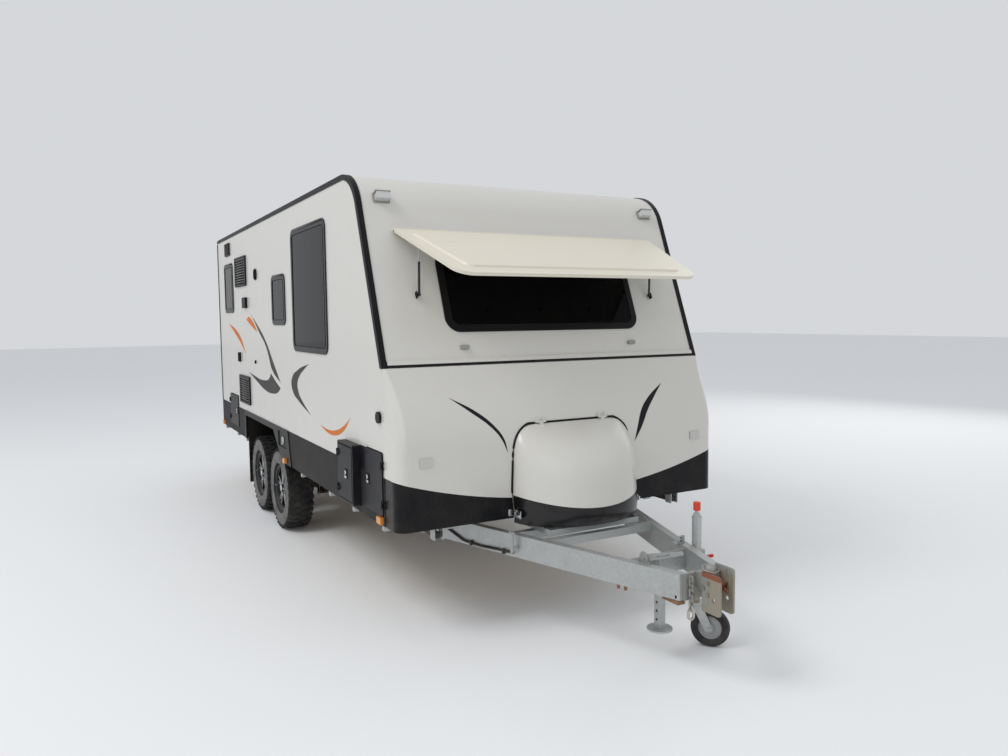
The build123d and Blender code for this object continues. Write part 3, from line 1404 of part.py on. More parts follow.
def main():
    """Write one STEP file per node."""
    os.makedirs("parts", exist_ok=True)
    for name, shape in build_nodes().items():
        export_step(Pos(ORIGIN_SHIFT, 0, -GROUND_Z) * shape, f"parts/{name}.step")


main()
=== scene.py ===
"""Looks of a tandem-axle travel caravan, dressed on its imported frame. Metres, in the frame's axes."""

from math import cos, pi, radians, sin, sqrt, tau

import bmesh
import bpy
from mathutils import Matrix, Vector
from mathutils.bvhtree import BVHTree


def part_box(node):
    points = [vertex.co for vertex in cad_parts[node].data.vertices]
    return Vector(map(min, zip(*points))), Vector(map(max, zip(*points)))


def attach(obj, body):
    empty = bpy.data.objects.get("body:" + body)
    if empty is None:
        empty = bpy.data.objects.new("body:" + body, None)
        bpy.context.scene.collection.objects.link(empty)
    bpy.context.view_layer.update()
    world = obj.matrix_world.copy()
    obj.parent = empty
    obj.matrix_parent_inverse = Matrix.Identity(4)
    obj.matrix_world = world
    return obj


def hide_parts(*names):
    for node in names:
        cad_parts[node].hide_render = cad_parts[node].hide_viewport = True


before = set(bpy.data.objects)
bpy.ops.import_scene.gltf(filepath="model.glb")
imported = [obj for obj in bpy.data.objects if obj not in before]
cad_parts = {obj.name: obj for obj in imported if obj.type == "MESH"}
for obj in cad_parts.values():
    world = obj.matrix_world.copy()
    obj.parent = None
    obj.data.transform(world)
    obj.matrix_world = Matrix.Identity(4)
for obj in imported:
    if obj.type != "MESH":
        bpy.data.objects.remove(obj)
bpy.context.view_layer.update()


def middle_of(name):
    """Middle of a CAD node's box."""
    low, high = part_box(name)
    return (low + high) / 2


# The body's datum lies ahead of the axle pair and above the ground. Places below are given from it
DATUM_AHEAD = 0.330
DATUM_HEIGHT = 0.085
DATUM = Vector((middle_of("axles").x + DATUM_AHEAD, 0, DATUM_HEIGHT))

SIDES = (-1, 1)
BODY = "caravan_body"

# Camera of the photograph
CAMERA_PLACE = (7.429, -2.856, 1.847)
CAMERA_YAW = 0.5036
CAMERA_PITCH = 0.0767
CAMERA_ROLL = -0.0107
FOCAL_PIXELS = 789.6
PHOTO_WIDTH = 1008
SENSOR = 36.0

# Light and floor: name, place, target, size and power of each lamp
LAMPS = [
    ("key", (2.0, -9.0, 11.0), (0.0, 0, 1.2), 5.0, 600),
    ("front", (11.0, -3.0, 6.0), (1.5, 0, 1.2), 7.0, 100),
    ("far", (-2.0, 11.0, 6.0), (-0.5, 0, 1.2), 7.0, 200),
]
SKY_COLOUR = (0.95, 0.97, 1.0)
SKY_STRENGTH = 0.70
FLOOR_COLOUR = (0.84, 0.85, 0.86)
FLOOR_SIZE = 60

# Body: half its width, the lift and thickness of its stripes, the top of its dark foot
HALF = 1.225
STRIPE_LIFT = 0.0004
STRIPE_THICK = 0.0004
SKIRT_TOP = 0.875

# Front wall: where it starts and how far it leans back
KNEE_X = 2.968
KNEE_Z = 1.548
TILT = radians(20.9)
NOSE_X = 3.170
ROOF_Z = 2.790
REAR_X = -2.660

# Windows: side, then x0, x1, z0, z1 and corner radius
WINDOWS = [
    (-1, 0.890, 1.870, 1.590, 2.570, 0.080),
    (-1, 0.150, 0.640, 1.800, 2.240, 0.070),
    (-1, -2.230, -1.720, 1.930, 2.480, 0.060),
    (1, 1.290, 1.890, 1.700, 2.300, 0.070),
    (1, -0.240, 0.760, 1.650, 2.300, 0.080),
]
FRONT_WINDOW = (-0.760, 0.760, 0.222, 0.792, 0.100)
WINDOW_INSET = 0.045
FRAME_PROUD = 0.009
SEAL_RADIUS = 0.0035

# Refrigerator vents in the offside wall: x0, x1, z0, z1
FRIDGE_VENTS = [(-1.550, -0.980, 2.200, 2.510), (-1.480, -0.950, 0.965, 1.260)]
VENT_SLATS = 10

# Locks of the small doors: side, x, z, how proud the door's face is
LOCKS = {
    "boot_door_offside": (-1, 2.690, 0.842, 0.010),
    "boot_door_nearside": (1, 2.690, 0.842, 0.010),
    "locker_door": (-1, 2.400, 0.826, 0.0598),
    "service_hatch": (-1, -1.690, 0.842, 0.010),
}

# Entry: its lock and the grab handle beside it, as (offset, height) along the handle
ENTRY_LOCK = (-1.96, 1.21)
ENTRY_LOCK_FACE = 1.257
GRAB_X = -2.13
GRAB_ROUTE = [(1.227, 1.00), (1.262, 1.02), (1.270, 1.06), (1.270, 1.44), (1.262, 1.48), (1.227, 1.50)]
STEP_STRIPS = 9

# Rivets along the top of the cladding, and the stretches where doors and flares leave no room
RIVET_START = -2.60
RIVET_PITCH = 0.155
RIVET_COUNT = 36
RIVET_Z = 0.872
RIVET_GAPS = {
    -1: [(-2.13, -1.60), (-1.30, 0.68), (2.18, 2.98)],
    1: [(-2.07, -1.37), (-1.30, 0.68), (2.61, 2.98)],
}

# Lamps: offset of the clearance and tail lamps, and height of the former up the front wall
LAMP_Y = 1.060
CLEARANCE_UP = 1.142

# Round dark vent: x, z, radius and pitch of its ribs. Small vent near the roof: its ribs
ROUND_VENT = (-0.530, 2.29, 0.050, 0.018)
HIGH_VENT_Z = 2.592
HIGH_VENT_PITCH = 0.024

# Gas locker: flank of its lid, offset of a bottle, the lid hinges' span, the lid's dark band, and
# the sweep of its gasket
LID_FLANK = 0.452
BOTTLE_Y = 0.178
LID_HINGE_SPAN = (0.214, 0.266)
LID_BAND_Z = 0.672
LID_BAND_BOW = 0.30
GASKET_START = radians(-16)
GASKET_SWEEP = radians(212)
GASKET_STEPS = 96

# Window shield: its rubber pads, and the rivets of its hinge rail
SHIELD_PADS = (-0.66, -0.22, 0.22, 0.66)
RAIL_UP = 0.930
RAIL_RIVETS = 17
RAIL_PITCH = 0.125

# Roof: hatches, cover strips with their screws, and the air conditioner with its louvres
HATCHES = (1.250, -1.950)
HATCH_HALF = 0.211
ROOF_SEAMS = (2.185, 0.70, -1.25)
ROOF_SCREWS = 16
SCREW_PITCH = 0.15
COOLER_BOX = (-0.826, 0.226, -0.321, 0.321, 0.111)
LOUVRES = 6
LOUVRE_PITCH = 0.020

# Awning: its two arms, and the middle of its roll
AWNING_ARMS = (-2.420, 1.980)
AWNING_Y = 1.296
AWNING_Z = 2.560

# Drawbar: beams, jockey clamp, socket bracket, bolts of the coupling, holes of the drop stand
BEAM_FRONT_X = 4.370
BEAM_SLOPE = 0.33
CLAMP_X = 4.066
CLAMP_Z = 0.452
BRACKET_X = 3.951
CHEEK_BOLTS = [(4.475, 0.480), (4.475, 0.420), (4.445, 0.450)]
PLATE_BOLT_Z = (0.395, 0.490)
STAND_HOLES = 6
STAND_PITCH = 0.050

# Running gear: axles, spring hangers and their bolts, springs, tank straps. The U-bolts' legs and
# nuts are given by top and foot from the hub, radius and number of sides
AXLES = (0.090, -0.750)
HUB_Z = 0.290
HANGERS = (-1.125, -0.330, 0.465)
HANGER_BOLT_Z = (0.350, 0.470)
SPRING_Y = 0.800
U_BOLTS = [(0.027, -0.105, 0.006, 12), (-0.084, -0.098, 0.011, 6)]
TANK_STRAPS = (1.15, 1.55, -1.70, -1.50)
STRAP_Z = 0.4505

# Road wheels
TYRE_RADIUS = 0.375
TYRE_HALF = 0.120
BEAD_RADIUS = 0.210
TREAD_DEPTH = 0.010
TREAD_BLOCKS = 34
TURN_STEPS = 96

# Tread: offsets of its blocks from the tyre's middle, how they lean and turn, their eased edges
INNER_BLOCKS = (0.006, 0.058)
INNER_TURN = 0.3
SHOULDER_START = 0.066
SIDE_LUGS = (0.094, 0.112)
SIDE_LEAN = -0.28
LUG_EDGE = 0.0022

# Rims: nuts, bright faces of the road wheels, where the spare starts, jockey wheel
WHEEL_NUTS = 6
NUT_CIRCLE = 0.054
RIM_LIP = 0.186
RIM_FACE_Y = 1.165
SPARE_X = -3.5
JOCKEY_RIM = 0.070

# Mattress: cuts, eased edges, and the spacing of its tufts both ways
QUILT_STEP = 0.04
MATTRESS_EDGE = 0.045
TUFT_X = 0.24
TUFT_Y = 0.25


def at(x, y, z):
    """A place given from the body's datum."""
    return DATUM + Vector((x, y, z))


def rise(height):
    """A step straight up."""
    return Vector((0, 0, height))


def tone(red, green, blue):
    """A colour written from 0 to 255, as the shaders want it."""
    steps = []
    for part in (red, green, blue):
        part /= 255
        steps.append(part / 12.92 if part <= 0.04045 else ((part + 0.055) / 1.055) ** 2.4)
    return tuple(steps)


WALL_WHITE = tone(206, 204, 198)
TRIM_WHITE = tone(214, 213, 208)
ROOF_WHITE = tone(214, 214, 211)
CREAM = tone(219, 213, 197)
SKIRT_GREY = tone(33, 33, 36)
SKIRT_BLACK = tone(9, 11, 17)
TRIM_BLACK = tone(15, 16, 18)
NAVY_BLACK = tone(16, 18, 26)
LIGHT_GREY = tone(140, 141, 140)
CATCH_GREY = tone(150, 150, 148)
TAN_STEEL = tone(150, 142, 127)
BARE_STEEL = tone(150, 150, 146)
CHEEK_RUST = tone(142, 84, 58)
STRIPE_GREY = tone(58, 58, 55)
STRIPE_ORANGE = tone(204, 112, 42)
STRIPE_BLACK = tone(24, 26, 32)
AMBER = tone(232, 138, 24)
STOP_RED = tone(150, 18, 14)
KNOB_RED = tone(206, 58, 34)
CHROME = tone(200, 202, 204)
ZINC = tone(184, 187, 186)
RUST = tone(132, 74, 44)
DUST = tone(150, 134, 110)
GREY_DUST = tone(142, 139, 132)
RUBBER = tone(20, 20, 21)
# Light grey of the tyre sidewalls: painted sunlight on rubber that is as black as the tread
SUNLIT_SIDEWALL = tone(112, 112, 110)

# Zones of another colour on a node, each as two corners
REAR_FOOT = ((-3, -2, 0), (-2.5, 2, SKIRT_TOP))
LID_HINGES = ((3.05, -0.3, 1.15), (3.22, 0.3, 1.23))
SHIELD_HINGE = ((2.55, -1.1, 2.37), (2.76, 1.1, 2.46))
SHIELD_CATCHES = ((2.85, -0.75, 1.61), (3.05, 0.75, 1.71))
FRONT_FLANGE = ((2.90, -1.193, 1.567), (3.05, 1.193, 1.60))
DOOR_GRIP = ((-2.0, 1.2355, 1.17), (-1.92, 1.30, 1.34))
CHEEK_FEET = ((4.37, -0.13, 0.36), (4.47, 0.13, 0.523))
CHEEK_HEAD = ((4.43, -0.06, 0.505), (4.6, -0.03, 0.534))
CHEEK_TOPS = ((4.37, -0.13, 0.534), (4.6, 0.13, 0.60))
HAND_BRAKE = ((4.0, -0.4, 0.40), (4.5, 0.1, 0.70))
TAP_POST = ((3.27, -0.56, 0.405), (3.33, -0.50, 0.545))
JOCKEY_TUBE = ((3.9, 0.2, 0.0), (4.1, 0.4, 0.712))
JOCKEY_KNOB = ((3.9, 0.2, 0.712), (4.1, 0.4, 0.80))
TAIL_LENSES = ((-3.2, -2, 0), (-2.6, 2, 3))
REVERSING_LENSES = ((-3.2, -2, 0.87), (-2.6, 2, 0.95))
TURN_LENSES = ((-3.2, -2, 0.95), (-2.6, 2, 1.2))
NOSE_LENSES = ((3.02, -2, 0.9), (3.4, 2, 1.1))
CLEARANCE_LENSES = ((2.3, -2, 2.4), (2.8, 2, 2.8))
REAR_ARM = ((-2.5, 1.2, 1.0), (-2.35, 1.35, 2.512))
FRONT_ARM = ((1.9, 1.2, 1.0), (2.05, 1.35, 2.512))


# Short ways to add shader nodes


def put(tree, kind, *wires, **settings):
    """Adds a node, with its settings, and joins or fills its inputs."""
    node = tree.nodes.new(kind)
    for key, value in settings.items():
        setattr(node, key, value)
    for target, source in wires:
        if isinstance(source, bpy.types.NodeSocket):
            tree.links.new(source, node.inputs[target])
        else:
            node.inputs[target].default_value = source
    return node


def position(tree):
    """Object coordinates, which are the frame's own because every piece is at the origin."""
    return put(tree, "ShaderNodeTexCoord").outputs["Object"]


def maths(tree, operation, first, second=0.0):
    """One sum on two values."""
    return put(tree, "ShaderNodeMath", (0, first), (1, second), operation=operation).outputs[0]


def vectors(tree, operation, first, second):
    """One sum on two vectors."""
    return put(tree, "ShaderNodeVectorMath", (0, first), (1, second), operation=operation).outputs[0]


def shaded(tree, colour, amount):
    """A colour made lighter or darker by an amount."""
    wires = ((0, colour), ("Scale", amount))
    return put(tree, "ShaderNodeVectorMath", *wires, operation="SCALE").outputs[0]


def blend_colours(tree, amount, first, second):
    """Mixes two colours."""
    node = put(tree, "ShaderNodeMix", (0, amount), (6, first), (7, second), data_type="RGBA")
    return node.outputs[2]


def split(tree, vector):
    """The three parts of a vector."""
    return put(tree, "ShaderNodeSeparateXYZ", (0, vector)).outputs


def spread(tree, value, low, high, to_low=0.0, to_high=1.0):
    """Stretches a value from one range to another."""
    wires = (("Value", value), ("From Min", low), ("From Max", high))
    ends = (("To Min", to_low), ("To Max", to_high))
    return put(tree, "ShaderNodeMapRange", *wires, *ends).outputs[0]


def noise(tree, vector, scale, detail, roughness=0.5):
    """Random soft patches."""
    wires = (("Vector", vector), ("Scale", scale), ("Detail", detail), ("Roughness", roughness))
    return put(tree, "ShaderNodeTexNoise", *wires).outputs["Fac"]


def relief(tree, height, depth, strength=1.0, invert=False):
    """A normal for a surface that rises with the height, depth in metres."""
    wires = (("Strength", strength), ("Distance", depth), ("Height", height))
    return put(tree, "ShaderNodeBump", *wires, invert=invert).outputs["Normal"]


def reach_from(tree, centre, axes):
    """Distance from a centre, along the axes given as ones."""
    flat = vectors(tree, "MULTIPLY", vectors(tree, "SUBTRACT", position(tree), centre), axes)
    return put(tree, "ShaderNodeVectorMath", (0, flat), operation="LENGTH").outputs["Value"]


# Effects shared by several finishes


def new_group(name, inputs, outputs):
    """An empty node group with named sockets."""
    group = bpy.data.node_groups.new(name, "ShaderNodeTree")
    for label, kind, value in inputs:
        socket = group.interface.new_socket(label, in_out="INPUT", socket_type="NodeSocket" + kind)
        socket.default_value = value
    for label, kind in outputs:
        group.interface.new_socket(label, in_out="OUTPUT", socket_type="NodeSocket" + kind)
    enter = group.nodes.new("NodeGroupInput")
    leave = group.nodes.new("NodeGroupOutput")
    return group, enter.outputs, leave.inputs


def make_grime():
    """Road dust that thickens towards the ground and lies in patches."""
    group, given, leave = new_group(
        "road_grime",
        [
            ("Color", "Color", (0.8, 0.8, 0.8, 1)),
            ("Roughness", "Float", 0.4),
            ("Dust Color", "Color", (*DUST, 1)),
            ("Clean Height", "Float", 1.3),
            ("Amount", "Float", 0.3),
            ("Patch Scale", "Float", 4.0),
        ],
        [("Color", "Color"), ("Roughness", "Float")],
    )
    place = position(group)
    low = spread(group, split(group, place)["Z"], 0.05, given["Clean Height"], 1.0, 0.12)
    patches = spread(group, noise(group, place, given["Patch Scale"], 6.0, 0.62), 0.35, 0.68)
    cover = maths(group, "MULTIPLY", low, patches)
    cover = maths(group, "MULTIPLY", cover, given["Amount"])
    mixed = blend_colours(group, cover, given["Color"], given["Dust Color"])
    group.links.new(mixed, leave["Color"])
    rough = maths(group, "ADD", given["Roughness"], maths(group, "MULTIPLY", cover, 0.5))
    group.links.new(rough, leave["Roughness"])
    return group


def make_grain():
    """Fine relief and a faint change of shade, stretched along one axis where asked."""
    group, given, leave = new_group(
        "surface_grain",
        [("Scale", "Float", 200.0), ("Stretch", "Vector", (1, 1, 1)), ("Detail", "Float", 3.0)],
        [("Height", "Float"), ("Shade", "Float")],
    )
    place = vectors(group, "MULTIPLY", position(group), given["Stretch"])
    height = noise(group, place, given["Scale"], given["Detail"])
    group.links.new(height, leave["Height"])
    group.links.new(spread(group, height, 0.3, 0.7, 0.9, 1.1), leave["Shade"])
    return group


def make_marks():
    """Patches of a second colour, such as rust on steel or scuffs on paint."""
    group, given, leave = new_group(
        "worn_patches",
        [
            ("Color", "Color", (0.5, 0.5, 0.5, 1)),
            ("Mark Color", "Color", (*RUST, 1)),
            ("Scale", "Float", 14.0),
            ("Threshold", "Float", 0.62),
            ("Amount", "Float", 1.0),
        ],
        [("Color", "Color"), ("Mask", "Float")],
    )
    patches = noise(group, position(group), given["Scale"], 8.0, 0.7)
    over = maths(group, "SUBTRACT", patches, given["Threshold"])
    over = put(group, "ShaderNodeClamp", (0, maths(group, "MULTIPLY", over, 14.0))).outputs[0]
    over = maths(group, "MULTIPLY", over, given["Amount"])
    mixed = blend_colours(group, over, given["Color"], given["Mark Color"])
    group.links.new(mixed, leave["Color"])
    group.links.new(over, leave["Mask"])
    return group


def make_zone():
    """One where a point is inside a box, and zero outside it."""
    group, given, leave = new_group(
        "inside_zone",
        [("Low", "Vector", (0, 0, 0)), ("High", "Vector", (1, 1, 1))],
        [("Mask", "Float")],
    )
    place = split(group, position(group))
    low = split(group, given["Low"])
    high = split(group, given["High"])
    mask = None
    for axis in "XYZ":
        above = maths(group, "GREATER_THAN", place[axis], low[axis])
        below = maths(group, "LESS_THAN", place[axis], high[axis])
        both = maths(group, "MULTIPLY", above, below)
        mask = both if mask is None else maths(group, "MULTIPLY", mask, both)
    group.links.new(mask, leave["Mask"])
    return group


GRIME = make_grime()
GRAIN = make_grain()
MARKS = make_marks()
ZONE = make_zone()


class Finish:
    """One material: its shader, and short ways to wire the shared effects into it."""

    def __init__(self, name, colour, roughness, **plain):
        self.material = bpy.data.materials.new(name)
        self.material.use_nodes = True
        self.tree = self.material.node_tree
        self.shader = self.tree.nodes["Principled BSDF"]
        self.colour = (*colour, 1)
        self.roughness = roughness
        self.set("Base Color", self.colour)
        self.set("Roughness", roughness)
        for label, value in plain.items():
            self.set(label.replace("_", " "), value)

    def set(self, label, value):
        """Sets a socket of the shader, or joins one to it."""
        if isinstance(value, bpy.types.NodeSocket):
            self.tree.links.new(value, self.shader.inputs[label])
        else:
            self.shader.inputs[label].default_value = value

    def paint(self, colour):
        """Takes a changing colour as the base from here on."""
        self.colour = colour
        self.set("Base Color", colour)

    def place(self, group, *wires):
        """Places a shared effect with its own values."""
        return put(self.tree, "ShaderNodeGroup", *wires, node_tree=group).outputs

    def grain(self, scale, depth, stretch=(1, 1, 1), detail=3.0, strength=1.0, shade=True):
        """Fine relief, depth in metres."""
        made = self.place(GRAIN, ("Scale", scale), ("Stretch", stretch), ("Detail", detail))
        self.set("Normal", relief(self.tree, made["Height"], depth, strength))
        if shade:
            base = self.colour if hasattr(self.colour, "is_output") else self.colour[:3]
            self.paint(shaded(self.tree, base, made["Shade"]))
        return self

    def ripple(self, scale, depth, strength):
        """Slow waves in a smooth sheet, in one even shade."""
        return self.grain(scale, depth, strength=strength, shade=False)

    def marks(self, colour, scale, threshold, amount=1.0):
        """Patches of another colour."""
        wires = (("Color", self.colour), ("Mark Color", (*colour, 1)), ("Scale", scale))
        limits = (("Threshold", threshold), ("Amount", amount))
        self.paint(self.place(MARKS, *wires, *limits)["Color"])
        return self

    def grime(self, amount, clean_height=1.3, scale=4.0, dust=DUST):
        """Road dust, from the ground up."""
        made = self.place(
            GRIME,
            ("Color", self.colour),
            ("Roughness", self.roughness),
            ("Dust Color", (*dust, 1)),
            ("Clean Height", clean_height),
            ("Amount", amount),
            ("Patch Scale", scale),
        )
        self.paint(made["Color"])
        self.roughness = made["Roughness"]
        self.set("Roughness", self.roughness)
        return self

    def inside(self, corners):
        """Mask of the box between two corners."""
        low, high = corners
        return self.place(ZONE, ("Low", at(*low)), ("High", at(*high)))["Mask"]

    def swap(self, mask, colour):
        """Another colour where the mask is one."""
        self.paint(blend_colours(self.tree, mask, self.colour, (*colour, 1)))

    def zones(self, *zones):
        """Another colour inside each box, given as its corners and the colour."""
        for corners, colour in zones:
            self.swap(self.inside(corners), colour)
        return self


def panel_skin(name, colour, dust, coat=0.35, patches=()):
    """Smooth glass-fibre sheet with a faint ripple and some road dust."""
    finish = Finish(name, colour, 0.3, Coat_Weight=coat, Coat_Roughness=0.12)
    return finish.zones(*patches).ripple(7.0, 0.0012, 0.35).grime(dust).material


def moulded_nose():
    """Gel-coated nose, with the dust that the tow vehicle throws up."""
    finish = Finish("nose_gelcoat", WALL_WHITE, 0.26, Coat_Weight=0.5, Coat_Roughness=0.08)
    return finish.ripple(5.0, 0.0016, 0.3).grime(0.18, 1.0, 6.0).material


def gas_lid_gelcoat():
    """White gel coat with the black band round the foot of the gas locker lid."""
    plain = {"Coat_Weight": 0.15, "Coat_Roughness": 0.08, "Specular_IOR_Level": 0.35}
    finish = Finish("gas_lid_gelcoat", WALL_WHITE, 0.26, **plain)
    tree = finish.tree
    place = split(tree, position(tree))
    bow = maths(tree, "MULTIPLY", place["Y"], place["Y"])
    edge = maths(tree, "ADD", maths(tree, "MULTIPLY", bow, LID_BAND_BOW), at(0, 0, LID_BAND_Z).z)
    finish.swap(maths(tree, "LESS_THAN", place["Z"], edge), SKIRT_BLACK)
    return finish.ripple(5.0, 0.0016, 0.3).grime(0.10, 1.0, 6.0).material


def roof_skin():
    """Stucco-embossed white aluminium."""
    finish = Finish("embossed_roof", ROOF_WHITE, 0.42).marks(DUST, 2.4, 0.58, 0.12)
    return finish.grain(90.0, 0.0006, detail=1.0, shade=False).material


def shield_plastic():
    """Cream vacuum-formed sheet, slightly rippled."""
    plain = {"Subsurface_Weight": 0.04, "Subsurface_Radius": (0.01, 0.01, 0.01)}
    finish = Finish("cream_shield", CREAM, 0.34, **plain)
    return finish.marks(tone(150, 140, 120), 9.0, 0.66, 0.25).ripple(12.0, 0.0010, 0.4).material


def skirt_sheet():
    """Dark grey sheet with a coarse pressed grain."""
    finish = Finish("dark_cladding", SKIRT_GREY, 0.6, Specular_IOR_Level=0.18)
    return finish.grain(260.0, 0.0005, detail=2.0).grime(0.22, 1.05, 5.0).material


def moulded_plastic(name, colour=TRIM_BLACK, roughness=0.42, dust=0.10, patches=()):
    """Moulded plastic with a leather-like grain."""
    finish = Finish(name, colour, roughness, Specular_IOR_Level=0.18)
    finish.grain(420.0, 0.0003, detail=2.0).grime(dust, 1.4, 5.0)
    return finish.zones(*patches).material


def coupling_steel():
    """Tan, weathered steel with orange rust on the offside cheek's head."""
    finish = Finish("weathered_coupling", TAN_STEEL, 0.55, Metallic=0.3).marks(RUST, 30.0, 0.62, 0.7)
    finish.zones((CHEEK_FEET, BARE_STEEL), (CHEEK_HEAD, CHEEK_RUST), (CHEEK_TOPS, BARE_STEEL))
    return finish.grain(240.0, 0.0005, detail=5.0).grime(0.3, 0.8, 8.0, GREY_DUST).material


def drawbar_hardware():
    """Hand brake in bare metal, tap and hose in black."""
    finish = Finish("drawbar_hardware", TRIM_BLACK, 0.45)
    finish.set("Metallic", finish.inside(HAND_BRAKE))
    finish.zones((HAND_BRAKE, tone(176, 178, 178)), (TAP_POST, tone(158, 160, 160)))
    finish.marks(RUST, 34.0, 0.64, 0.7)
    return finish.grain(240.0, 0.0004, detail=4.0).grime(0.3, 0.8, 8.0).material


def jockey_zinc():
    """Galvanised jockey tube with its red-orange winding knob."""
    finish = Finish("jockey_zinc", ZINC, 0.4)
    finish.set("Metallic", maths(finish.tree, "MULTIPLY", finish.inside(JOCKEY_TUBE), 0.75))
    finish.zones((JOCKEY_KNOB, KNOB_RED))
    return finish.grain(160.0, 0.0004, detail=4.0).grime(0.3, 0.8, 7.0).material


def zinc_coating():
    """Hot-dip galvanised steel: spangled, dull, with rust where it was knocked."""
    finish = Finish("galvanised_steel", ZINC, 0.46, Metallic=0.75)
    tree = finish.tree
    cells = put(tree, "ShaderNodeTexVoronoi", ("Vector", position(tree)), ("Scale", 85.0))
    finish.paint(shaded(tree, ZINC, spread(tree, cells.outputs["Color"], 0.0, 1.0, 0.9, 1.06)))
    finish.marks(RUST, 9.0, 0.69, 0.5)
    return finish.grain(140.0, 0.0005, detail=4.0, shade=False).grime(0.25, 0.9, 7.0, GREY_DUST).material


def worn_steel(name, colour, roughness, metallic, rust):
    """Bare or painted steel with rust breaking through."""
    finish = Finish(name, colour, roughness, Metallic=metallic)
    finish.marks(RUST, 26.0, 0.66 - rust * 0.12, 0.85)
    return finish.grain(240.0, 0.0004, detail=5.0).grime(0.4, 0.8, 8.0).material


def tinted_glass():
    """Dark acrylic window pane."""
    finish = Finish("tinted_acrylic", (0.012, 0.013, 0.015), 0.035, Transmission_Weight=0.85, IOR=1.16)
    return finish.ripple(3.0, 0.0008, 0.15).material


def tyre_rubber(name, colour, dust):
    """Rubber in the colour given, with a little grey dust. The sidewall's light grey is painted sunlight
    on the black rubber.
    """
    finish = Finish(name, colour, 0.78, Specular_IOR_Level=0.3)
    finish.marks(RUBBER, 11.0, 0.50, 0.45)
    return finish.grain(300.0, 0.0004, detail=3.0).grime(dust, 0.9, 9.0, GREY_DUST).material


def jockey_rubber():
    """Black tyre of the jockey wheel round a grey steel centre."""
    finish = Finish("jockey_rubber", RUBBER, 0.6, Specular_IOR_Level=0.3)
    reach = reach_from(finish.tree, middle_of("jockey_wheel"), (1, 1, 1))
    finish.swap(maths(finish.tree, "LESS_THAN", reach, JOCKEY_RIM), tone(150, 152, 152))
    return finish.grain(200.0, 0.0003).grime(0.2, 0.6, 9.0, GREY_DUST).material


def rim_alloy():
    """Black-painted alloy whose outward faces are machined bright inside the lip."""
    finish = Finish("machined_alloy", TRIM_BLACK, 0.34, Specular_IOR_Level=0.3)
    tree = finish.tree
    facing = split(tree, put(tree, "ShaderNodeNewGeometry").outputs["True Normal"])
    sideways = maths(tree, "ABSOLUTE", facing["Y"])
    rearward = maths(tree, "ABSOLUTE", facing["X"])
    flat = maths(tree, "GREATER_THAN", maths(tree, "MAXIMUM", sideways, rearward), 0.985)
    place = split(tree, position(tree))
    outer = maths(tree, "GREATER_THAN", maths(tree, "ABSOLUTE", place["Y"]), RIM_FACE_Y)
    behind = maths(tree, "LESS_THAN", place["X"], SPARE_X)
    bright = maths(tree, "MULTIPLY", flat, maths(tree, "MAXIMUM", outer, behind))
    reach = reach_from(tree, middle_of("spare_tyre"), (0, 1, 1))
    for x in AXLES:
        reach = maths(tree, "MINIMUM", reach, reach_from(tree, at(x, 0, HUB_Z), (1, 0, 1)))
    bright = maths(tree, "MULTIPLY", bright, maths(tree, "LESS_THAN", reach, RIM_LIP))
    finish.swap(bright, tone(160, 162, 164))
    finish.set("Metallic", maths(tree, "MULTIPLY", bright, 0.8))
    return finish.ripple(160.0, 0.0002, 1.0).grime(0.15, 0.9, 9.0, GREY_DUST).material


def lamp_lens():
    """Lamp lenses: amber on the sides, red at the rear and clear on the nose, with moulded ribs."""
    finish = Finish("lamp_lens", AMBER, 0.18, Coat_Weight=0.6, Coat_Roughness=0.05)
    finish.zones((TAIL_LENSES, STOP_RED), (REVERSING_LENSES, tone(206, 206, 200)))
    finish.zones((TURN_LENSES, AMBER), (NOSE_LENSES, tone(196, 196, 190)))
    finish.zones((CLEARANCE_LENSES, tone(196, 198, 196)))
    tree = finish.tree
    wires = (("Vector", position(tree)), ("Scale", 60.0))
    ribs = put(tree, "ShaderNodeTexWave", *wires, bands_direction="Z")
    finish.set("Normal", relief(tree, ribs.outputs["Fac"], 0.0008))
    return finish.grime(0.2, 1.2, 9.0).material


def awning_vinyl():
    """Charcoal vinyl rolled on its tube, with a faint weave, between white arms."""
    finish = Finish("awning_vinyl", tone(92, 94, 98), 0.6)
    finish.zones((REAR_ARM, WALL_WHITE), (FRONT_ARM, WALL_WHITE))
    return finish.grain(500.0, 0.0003, stretch=(1, 3, 3)).grime(0.2, 3.0, 3.0).material


def plywood():
    """Birch ply with its grain along the body."""
    finish = Finish("birch_ply", tone(196, 168, 126), 0.5)
    return finish.grain(60.0, 0.0004, stretch=(0.12, 1, 1), detail=6.0).material


def bottle_paint():
    """Grey enamel on the gas bottles."""
    finish = Finish("bottle_enamel", tone(168, 172, 172), 0.36, Coat_Weight=0.2)
    finish.marks(RUST, 20.0, 0.68, 0.8)
    return finish.grain(110.0, 0.0004, shade=False).grime(0.10, 1.0, 6.0).material


def mattress_cloth():
    """Pale quilted ticking."""
    finish = Finish("quilted_ticking", tone(214, 208, 196), 0.85, Sheen_Weight=0.3)
    tree = finish.tree
    wires = (("Vector", position(tree)), ("Rotation", (0, 0, pi / 4)))
    slanted = put(tree, "ShaderNodeMapping", *wires).outputs[0]
    wires = (("Vector", slanted), ("Scale", 9.0), ("Randomness", 0.0))
    cells = put(tree, "ShaderNodeTexVoronoi", *wires, distance="CHEBYCHEV")
    finish.set("Normal", relief(tree, cells.outputs["Distance"], 0.012, invert=True))
    return finish.material


def stripe_vinyl(name, colour):
    """Cut vinyl film on the wall."""
    finish = Finish(name, colour, 0.5, Specular_IOR_Level=0.15)
    return finish.grain(8.0, 0.0010, strength=0.3).grime(0.08, 1.3, 5.0).material


def bright_metal(name, colour=CHROME, roughness=0.22):
    """Chromed or stainless small fitting."""
    finish = Finish(name, colour, roughness, Metallic=1.0)
    return finish.grain(200.0, 0.0002).grime(0.2, 1.0, 9.0).material


